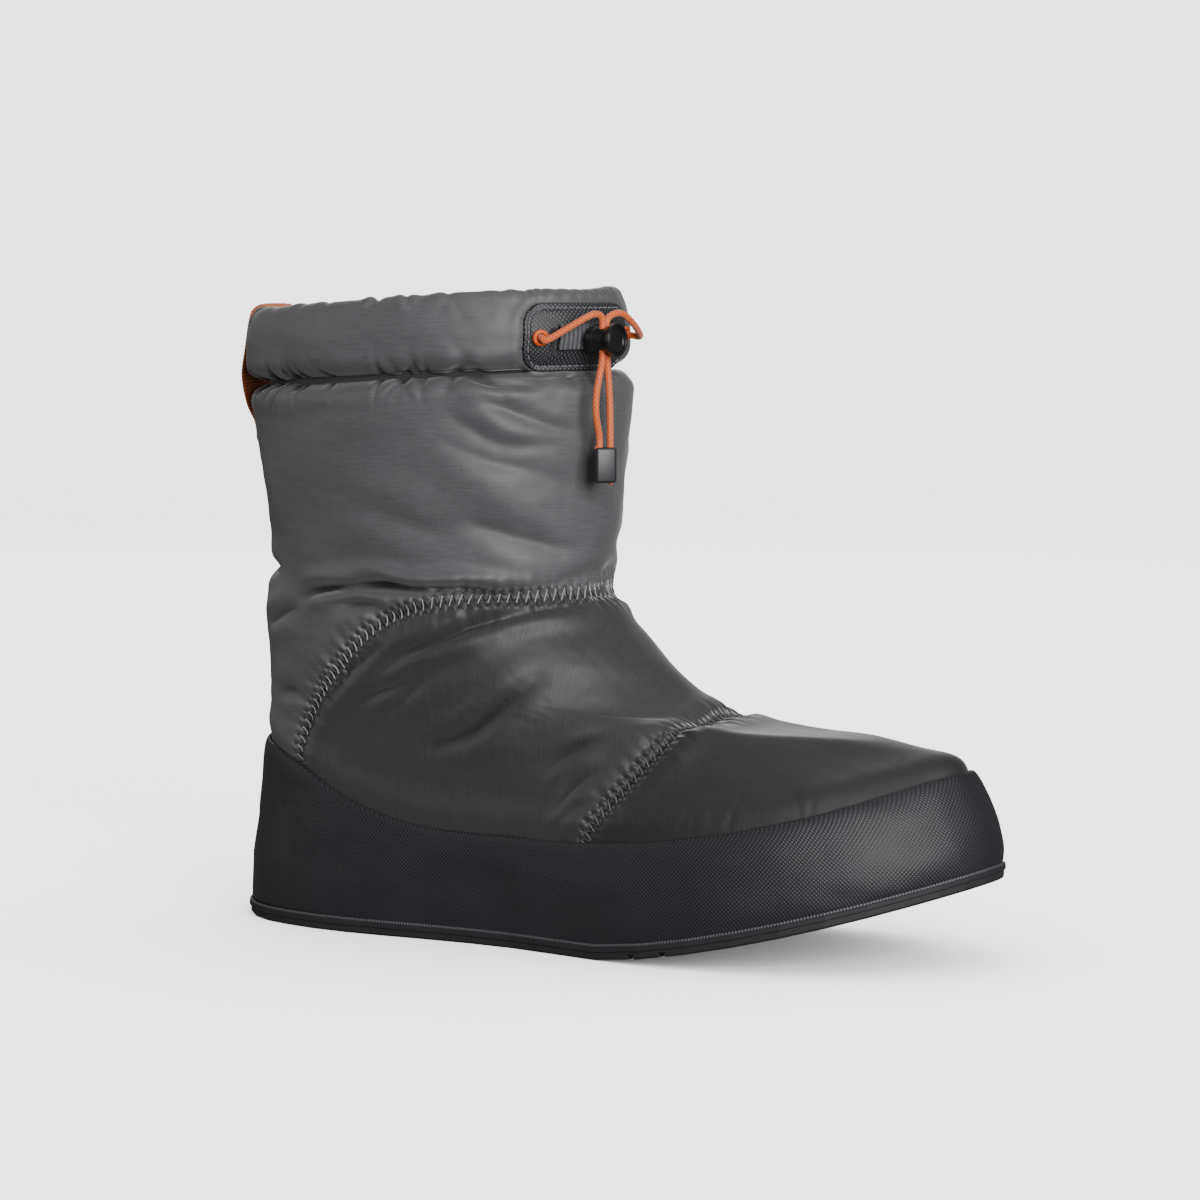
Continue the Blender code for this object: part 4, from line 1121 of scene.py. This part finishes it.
def rand_material():
    """Polyurethane-coated weave with raised diamonds: nearly black, dull, with a faint light dot on
    each crossing. The dots are 1.1 mm apart, as on such cloth."""
    made, tree, shader = new_material("coated_diamond_weave", Roughness=0.5)
    shader.inputs["Specular IOR Level"].default_value = 0.45
    source = uv_place(tree)
    dots = math_node(tree, "POWER", lattice(tree, source, DIAMOND_PITCH, DIAMOND_PITCH), 1.4)
    cloud = noise(tree, source, 0.05)
    level = times(tree, dots, plus(tree, cloud, 0.35))
    colour = mix_colour(tree, level, linear("121215"), chosen("rand_colour"))
    finish_shader(tree, shader, colour, dots, 0.16, 0.7)
    return made


def rubber_material():
    """Moulded natural rubber: matt charcoal with a fine spark-eroded grain."""
    made, tree, shader = new_material("moulded_rubber", Roughness=0.62)
    shader.inputs["Specular IOR Level"].default_value = 0.35
    source = own_place(tree)
    grain = noise(tree, source, 1500.0, 3.0)
    cloud = noise(tree, source, 22.0)
    colour = mix_colour(tree, cloud, linear("1A1A1C"), linear("2B2B2E"))
    finish_shader(tree, shader, colour, grain, 0.08)
    return made


def piping_material():
    """The sole's moulded welt line: fine upright ribs 1.2 mm apart, their tops painted lighter as a
    painted highlight.
    """
    made, tree, shader = new_material("ribbed_rubber_line", Roughness=0.45)
    source = uv_place(tree)
    along = add(tree, "SeparateXYZ", {0: source}).outputs[0]
    rib = ribs(tree, along, 1.2)
    # Painted highlight: the ribs' tops are coloured lighter than their grooves.
    colour = mix_colour(tree, rib, linear("232326"), linear("5A5A5E"))
    finish_shader(tree, shader, colour, rib, 0.2)
    return made


def patch_material():
    """Coated ballistic nylon: black, with fine light dots in diagonal rows 1.3 mm apart."""
    made, tree, shader = new_material("ballistic_nylon", Roughness=0.52)
    source = uv_place(tree)
    dots = math_node(tree, "POWER", lattice(tree, source, 1.8, 1.8), 2.2)
    colour = mix_colour(tree, dots, linear("101012"), linear("55565C"))
    finish_shader(tree, shader, colour, dots, 0.14, 0.8)
    return made


def braid_material():
    """Braided polyester over rubber: strands cross in diamonds, with a brighter yarn in places."""
    made, tree, shader = new_material("braided_cord", Roughness=0.55, Sheen_Weight=0.3)
    source = uv_place(tree)
    strands = lattice(tree, source, 1.7, CORD_DIAMETER * math.pi / 4)
    fleck = noise(tree, source, 1.4)
    level = times(tree, plus(tree, strands, 0.25), fleck)
    colour = mix_colour(tree, level, linear("C44A10"), chosen("cord_colour"))
    finish_shader(tree, shader, colour, strands, 0.15, 0.5)
    return made


def webbing_material(name, dark, light, pitch, axis):
    """Woven polyester tape: cross ribs and fine lengthwise yarns. axis is the ribs' direction in
    the piece's own place, or None where they follow its UV map."""
    made, tree, shader = new_material(name, Roughness=0.7, Sheen_Weight=0.25)
    if axis is None:
        source = uv_place(tree)
        along = add(tree, "SeparateXYZ", {0: source}).outputs[0]
    else:
        source = own_place(tree)
        dot = add(tree, "VectorMath", {0: source, 1: axis}, operation="DOT_PRODUCT")
        along = times(tree, dot.outputs["Value"], 1000.0)
    rib = ribs(tree, along, pitch)
    size = 2.2 if axis is None else 2200.0
    yarn = noise(tree, source, size)
    level = times(tree, plus(tree, rib, 0.3), yarn)
    colour = mix_colour(tree, level, linear(dark), linear(light))
    finish_shader(tree, shader, colour, rib, 0.25, 0.7)
    return made


def plastic_material(name, dark, light, roughness):
    """Injection-moulded acetal: smooth and satin, with a very fine mould grain."""
    made, tree, shader = new_material(name, Roughness=roughness)
    source = own_place(tree)
    grain = noise(tree, source, 2500.0)
    cloud = noise(tree, source, 260.0)
    colour = mix_colour(tree, cloud, linear(dark), linear(light))
    finish_shader(tree, shader, colour, grain, 0.03, 0.4)
    return made


class BOOTIE_OT_seams(Operator):
    """Sew the zigzag threads over the two panel seams"""

    bl_idname = "bootie.seams"
    bl_label = "Zigzag seams"

    def execute(self, context):
        # The pale strokes of both zigzags are a painted highlight; the thread itself is the dark colour.
        glint_thread = thread_material("sewing_thread", "9A9A9C", "2A2A2C")
        deep = thread_material("dark_sewing_thread", "58585A", "1D1D1F")
        finish_piece("vamp_zigzag", zigzag("leg", VAMP_SEAM), glint_thread, sharp=None)
        finish_piece("toe_zigzag", zigzag("foot", TOE_SEAM), deep, sharp=None)
        return {"FINISHED"}


def outline_of_rand():
    """The rand's outer outline, as directions in degrees and mm round it."""
    tree = BVHTree.FromBMesh(merged("rand"))
    turns = np.arange(-180, 181, 1.5)
    spots = []
    for turn in np.radians(turns):
        way = Vector((math.cos(turn), math.sin(turn), 0))
        spots.append(tree.ray_cast(way * 0.3 + Vector((0, 0, OUTLINE_HEIGHT * MM)), -way)[0] / MM)
    return turns, lengths_along(np.array(spots))


def sole_joint():
    """The closed line in mm where the rand's foot meets the sole's edge."""
    bm = merged("rand")
    spots = {}
    for edge in bm.edges:
        if len(edge.link_faces) != 2:
            continue
        down = [f for f in edge.link_faces if f.normal.z < -0.7]
        out = [
            f
            for f in edge.link_faces
            if f.normal.z > -0.5 and f.normal.dot(f.calc_center_median() * Vector((1, 1, 0))) > 0
        ]
        if down and out:
            for vert in edge.verts:
                spots[vert.index] = np.array(vert.co) / MM
    bm.free()
    points = sorted(spots.values(), key=lambda p: math.atan2(p[1], p[0]))
    return np.array([*points, points[0]])


class BOOTIE_OT_rand(Operator):
    """Wrap the textured rand round the foot and finish the rubber sole"""

    bl_idname = "bootie.rand"
    bl_label = "Rand and sole"

    def execute(self, context):
        bm = merged("rand")
        firm = bm.edges.layers.float.new("crease_edge")
        for edge in bm.edges:
            middle = (edge.verts[0].co + edge.verts[1].co) / 2 / MM
            if middle.z < rand_top(middle.x) - 9 and edge.calc_face_angle(0) > math.radians(45):
                edge[firm] = 1.0
        mesh = new_mesh("textured_rand", refined(bm, 2), 50)
        points = vertex_values(mesh, "co") / MM
        soft = 0.22 * waves(points, (42, 42, 26), 61) + 0.10 * waves(points, (17, 17, 13), 62)
        soft *= np.clip((points[:, 2] - 12) / 12, 0, 1)
        move_vertices(mesh, (points + vertex_values(mesh, "normal") * soft[:, None]) * MM)
        turns, run = outline_of_rand()
        period = round(run[-1] / DIAMOND_PITCH) * DIAMOND_PITCH
        at = np.interp(np.degrees(np.arctan2(points[:, 1], points[:, 0])), turns, run / run[-1] * period)
        write_uv(mesh, "uv", at, points[:, 2], period)
        rand = new_object("textured_rand", mesh)
        set_material(rand, rand_material())
        settle(rand, ("rand",))
        set_material(NODES["outsole"], rubber_material())
        joint = evenly(sole_joint(), 1.0)
        away = unit(joint * np.array([1, 1, 0])) * 0.1
        line = tube(joint + away, 0.62, 8)
        finish_piece("sole_line", line, piping_material(), sharp=None)
        return {"FINISHED"}


class BOOTIE_OT_patch(Operator):
    """Sew the cord lock's patch on the collar, with its stitches, bartack and rings"""

    bl_idname = "bootie.patch"
    bl_label = "Front patch and rings"

    def execute(self, context):
        def laid(u, v):
            x, y = rounded_box(2 * u - 1, 2 * v - 1, *PATCH_SIZE, PATCH_CORNER)
            return collar_place(x, y, patch_lift(x, y))[0]

        out = Vector(facing_out(-PATCH_HEADING))
        cloth = mapped_grid(96, 48, PATCH_SIZE, laid, outward=out)
        patch = finish_piece("front_patch", cloth, patch_material(), ("collar_patch",))
        thickness = patch.modifiers.new("thickness", "SOLIDIFY")
        thickness.thickness = 0.8 * MM
        thickness.offset = -1.0

        step = STITCH_PITCH / 8
        line = patch_outline(STITCH_INSET, step)
        phase = np.arange(len(line)) % 8 / 8 * 2 * math.pi
        lift = np.clip(0.75 * np.sin(phase) + 0.12, -0.35, 0.3)
        points, _ = collar_place(line[:, 0], line[:, 1], patch_lift(line[:, 0], line[:, 1]) + lift)
        grey = thread_material("grey_sewing_thread", "6E6F72", "6E6F72")
        finish_piece("patch_stitches", tube(points, PATCH_THREAD_RADIUS, 6), grey, sharp=None)

        def bartack(u, v):
            x = BARTACK_MIDDLE[0] + (u - 0.5) * BARTACK_SIZE[0]
            y = BARTACK_MIDDLE[1] + (v - 0.5) * BARTACK_SIZE[1]
            edge = np.sqrt(np.clip(1 - np.abs(2 * u - 1) ** 4, 0, 1))
            edge *= np.sqrt(np.clip(1 - np.abs(2 * v - 1) ** 8, 0, 1))
            return collar_place(x, y, 0.7 + (0.75 + 0.14 * np.cos(v * 2 * math.pi * 17)) * edge)[0]

        block = mapped_grid(10, 102, BARTACK_SIZE, bartack, outward=out)
        gloss = thread_material("black_sewing_thread", "1A1A1C", "1A1A1C")
        finish_piece("bartack", block, gloss, sharp=None)

        orange = plastic_material("orange_moulded_ring", "C24A10", "D65A1C", 0.42)
        black = bpy.data.materials.get("black_acetal") or plastic_material(
            "black_acetal", "0B0B0C", "151517", 0.33
        )
        for side, (origin, normal) in EYELETS.items():
            ring = stand(spun(rounded(RING_PROFILE, 0.35), 40), origin, normal)
            node = "eyelet_" + side
            finish_piece("ring_" + side, ring, orange, (node,), sharp=None)
            # Painted shade: a black disc plugs each ring's hole, a dark sheet standing in for the shade
            # inside it.
            hole_shade = stand(spun(((0, 0.05), (1.5, 0.05), (1.55, -0.4), (0, -0.4)), 24), origin, normal)
            finish_piece("ring_hole_shade_" + side, hole_shade, black)
        return {"FINISHED"}


class BOOTIE_OT_lock(Operator):
    """Build the barrel cord lock, its button and tab, and the clip on the cord's ends"""

    bl_idname = "bootie.lock"
    bl_label = "Cord lock and clip"

    def execute(self, context):
        black = bpy.data.materials["black_acetal"]
        out = facing_out(LOCK_HEADING)
        body = spun(rounded(LOCK_PROFILE, 0.4), 48)
        slot_faces = []
        for face in body.faces:
            middle = face.calc_center_median() / MM
            turn = abs(math.degrees(math.atan2(middle.y, middle.x)))
            if 3.75 < middle.z < 7.25 and abs(turn - 90) < 38 and math.hypot(*middle.xy) > 4.0:
                slot_faces.append(face)
        sink(body, slot_faces, 0.6, 0.0)
        finish_piece("lock_barrel", stand(body, LOCK_BASE, out), black, ("lock_body",))
        button = spun(rounded(BUTTON_PROFILE, 0.3), 48)
        cuts = []
        for face in button.faces:
            middle = face.calc_center_median() / MM
            turn = abs(math.degrees(math.atan2(middle.y, middle.x)))
            beside_middle = min(turn, 180 - turn) < 36
            if middle.z > 10.6 and 2.7 < math.hypot(*middle.xy) < 3.3 and beside_middle:
                cuts.append(face)
        sink(button, cuts, 1.0, -0.7)
        finish_piece("lock_face", stand(button, LOCK_BASE, out), black, ("lock_button",))

        side = (-math.sin(math.radians(LOCK_HEADING)), math.cos(math.radians(LOCK_HEADING)), 0)
        webbing = webbing_material("grey_tape", "18191B", "66676B", 1.7, side)
        tab = finish_piece("lock_tape", merged("lock_tab"), webbing, ("lock_tab",))
        soften(tab, 0.35)
        self.clip()
        return {"FINISHED"}

    def clip(self):
        bm = bmesh.new()
        bmesh.ops.create_cube(bm, size=1.0)
        bmesh.ops.scale(bm, vec=[s * MM for s in CLIP_SIZE], verts=bm.verts)
        bmesh.ops.bevel(
            bm, geom=bm.edges[:], offset=1.1 * MM, segments=4, profile=0.5, affect="EDGES", material=-1
        )
        for depth in (-0.15, 0.0, 0.15):
            bmesh.ops.bisect_plane(
                bm,
                geom=[*bm.verts, *bm.edges, *bm.faces],
                dist=1e-7,
                plane_co=(0, 0, (depth - 0.9) * MM),
                plane_no=(0, 0, 1),
            )
        joint = [v for v in bm.verts if abs(v.co.z + 0.9 * MM) < 1e-6]
        bmesh.ops.scale(bm, vec=(0.96, 0.98, 1), verts=joint)
        stand(bm, CLIP_MIDDLE, facing_out(CLIP_HEADING))
        grey = plastic_material("satin_acetal", "1E1E21", "2C2C30", 0.4)
        finish_piece("end_clip", bm, grey, ("cord_clip",))


def soften(obj, width):
    """Rounds a piece's sharp edges over width mm."""
    step = obj.modifiers.new("edges", "BEVEL")
    step.width = width * MM
    step.segments = 2
    step.limit_method = "ANGLE"
    step.angle_limit = math.radians(40)


class BOOTIE_OT_cords(Operator):
    """Thread the two ends of the elastic cord through the lock down to their clip"""

    bl_idname = "bootie.cords"
    bl_label = "Drawcords"

    def execute(self, context):
        braid = braid_material()
        for side, route in CORD_ROUTES.items():
            last = np.array(route[-1]) + (0, 0, -2.0)
            path = evenly(through([*route, last], 8), 0.5)
            piece = finish_piece(
                "cord_" + side, tube(path, CORD_DIAMETER / 2, 12), braid,
                ("drawcord_" + side,), sharp=None,
            )
        middle = np.array(CLIP_MIDDLE)
        along = np.array([math.sin(math.radians(-CLIP_HEADING)), math.cos(math.radians(CLIP_HEADING)), 0])
        for name, across, low, high in (("top", -2.9, 4.8, 7.1), ("bottom", 2.3, -7.3, -5.0)):
            start = middle + along * across + (0, 0, low)
            end = middle + along * across + (0, 0, high)
            stub = tube(evenly(np.array([start, end]), 0.3), 1.1, 12)
            finish_piece("cord_stub_" + name, stub, braid, sharp=None)
        return {"FINISHED"}


class BOOTIE_OT_loop(Operator):
    """Sew the ribbed pull loop to the back of the collar"""

    bl_idname = "bootie.loop"
    bl_label = "Pull loop"

    def execute(self, context):
        line = evenly(through(LOOP_LINE, 8), 0.22)
        ways = unit(np.gradient(line, axis=0))
        rows = len(line) - 1
        run = lengths_along(line)

        def laid(u, v):
            step = np.rint(u * rows).astype(int)
            angle = v * 2 * math.pi
            rib = 1 + 0.2 * np.cos(run[step] * 2 * math.pi / LOOP_RIB)
            across = np.sign(np.cos(angle)) * np.abs(np.cos(angle)) ** 0.35 * LOOP_SIZE[0] / 2
            off = np.sign(np.sin(angle)) * np.abs(np.sin(angle)) ** 0.6 * LOOP_SIZE[1] / 2 * rib
            x = line[step, 0] - ways[step, 1] * off
            z = line[step, 1] + ways[step, 0] * off
            return np.stack([x, across, z], 1)

        bm = mapped_grid(rows, 28, (run[-1], 43.0), laid, capped=True)
        tape = webbing_material("orange_tape", "A8431A", "FF9450", LOOP_RIB, None)
        finish_piece("pull_tape", bm, tape, ("pull_loop",), sharp=None)
        return {"FINISHED"}


def aimed(name, data, spot, target):
    """A lamp or camera at a spot, turned to its target."""
    holder = new_object(name, data)
    holder.location = spot
    aim = Vector(target) - Vector(spot)
    holder.rotation_euler = aim.to_track_quat("-Z", "Y").to_euler()
    return holder


class BOOTIE_OT_stage(Operator):
    """Build the pale floor, the soft studio light and the camera"""

    bl_idname = "bootie.stage"
    bl_label = "Floor, light and camera"

    def execute(self, context):
        bm = spun(rounded(STAGE_PROFILE, 0.4, 6), 96, 1.0)
        bmesh.ops.reverse_faces(bm, faces=bm.faces)
        floor = new_object("floor", new_mesh("floor", bm))
        made, tree, shader = new_material("white_floor", Roughness=0.9)
        shader.inputs["Base Color"].default_value = linear("F0F0F0")
        shader.inputs["Emission Color"].default_value = (1, 1, 1, 1)
        # Painted shadow: the floor's glow is dimmed by ambient occlusion near the bootie, a contact
        # shadow painted into the floor.
        near = add(tree, "AmbientOcclusion", {"Distance": 0.22}, samples=12)
        glow_and_painted_shadow = add(tree, "MapRange", {0: near.outputs["AO"], 1: 0.0, 2: 1.0, 3: 0.05, 4: 2.7})
        tree.links.new(glow_and_painted_shadow.outputs[0], shader.inputs["Emission Strength"])
        set_material(floor, made)
        floor.visible_diffuse = False
        floor.visible_glossy = False
        floor.visible_shadow = False
        world = context.scene.world or bpy.data.worlds.new("studio")
        context.scene.world = world
        world.use_nodes = True
        sky = world.node_tree.nodes["Background"]
        sky.inputs["Color"].default_value = (1, 1, 1, 1)
        sky.inputs["Strength"].default_value = 0.16
        for name, spot, target, size, power in LAMPS:
            lamp = bpy.data.lights.new(name, "AREA")
            lamp.shape = "SQUARE"
            lamp.size = size
            lamp.energy = power
            aimed(name, lamp, spot, target)
        camera = bpy.data.cameras.new("camera")
        camera.lens = CAMERA_LENS
        camera.sensor_width = 36.0
        camera.clip_end = 20.0
        context.scene.camera = aimed("camera", camera, CAMERA_PLACE, CAMERA_TARGET)
        return {"FINISHED"}


class BootieSizes(PropertyGroup):
    """Colours, sizes and counts that a user may change"""

    shaft_colour: FloatVectorProperty(
        name="Shaft",
        description="Colour of the nylon of shaft and collar",
        subtype="COLOR",
        size=3,
        min=0.0,
        max=1.0,
        default=linear("4E4E50")[:3],
    )
    vamp_colour: FloatVectorProperty(
        name="Vamp",
        description="Colour of the nylon over the instep",
        subtype="COLOR",
        size=3,
        min=0.0,
        max=1.0,
        default=linear("313132")[:3],
    )
    toe_colour: FloatVectorProperty(
        name="Toe",
        description="Colour of the nylon of the toe panel",
        subtype="COLOR",
        size=3,
        min=0.0,
        max=1.0,
        default=linear("1D1D1E")[:3],
    )
    rand_colour: FloatVectorProperty(
        name="Rand",
        description="Colour of the raised diamonds of the rand's weave",
        subtype="COLOR",
        size=3,
        min=0.0,
        max=1.0,
        default=linear("35353B")[:3],
    )
    cord_colour: FloatVectorProperty(
        name="Drawcord",
        description="Colour of the drawcord's bright yarns",
        subtype="COLOR",
        size=3,
        min=0.0,
        max=1.0,
        default=linear("F4803C")[:3],
    )
    fold_depth: FloatProperty(
        name="Fold depth",
        description="How deep a crease of depth 1 sinks into the padded nylon",
        subtype="DISTANCE",
        unit="LENGTH",
        min=0.0,
        max=0.004,
        default=FOLD_DEPTH * MM,
    )
    thread_radius: FloatProperty(
        name="Thread radius",
        description="Half the thickness of the zigzag thread",
        subtype="DISTANCE",
        unit="LENGTH",
        min=0.0,
        max=0.001,
        default=THREAD_RADIUS * MM,
    )
    skin_levels: IntProperty(
        name="Skin levels",
        description="Rounds of subdivision of the upper's skin",
        default=3,
        min=1,
        max=3,
    )


class BOOTIE_PT_panel(Panel):
    """The bootie's pieces in the order in which they are built"""

    bl_label = "Bootie"
    bl_space_type = "VIEW_3D"
    bl_region_type = "UI"
    bl_category = "Bootie"

    def draw(self, context):
        for name in BootieSizes.__annotations__:
            self.layout.prop(context.scene.bootie, name)
        for step in STEPS:
            self.layout.operator(step.bl_idname)


STEPS = (
    BOOTIE_OT_stage,
    BOOTIE_OT_shell,
    BOOTIE_OT_seams,
    BOOTIE_OT_rand,
    BOOTIE_OT_patch,
    BOOTIE_OT_lock,
    BOOTIE_OT_cords,
    BOOTIE_OT_loop,
)
CLASSES = (BootieSizes, BOOTIE_PT_panel, *STEPS)


def register():
    for item in CLASSES:
        bpy.utils.register_class(item)
    bpy.types.Scene.bootie = PointerProperty(type=BootieSizes)


def unregister():
    del bpy.types.Scene.bootie
    for item in reversed(CLASSES):
        bpy.utils.unregister_class(item)


def main():
    """Builds every piece in order."""
    register()
    for step in STEPS:
        group, name = step.bl_idname.split(".")
        getattr(getattr(bpy.ops, group), name)()


if __name__ == "__main__":
    main()
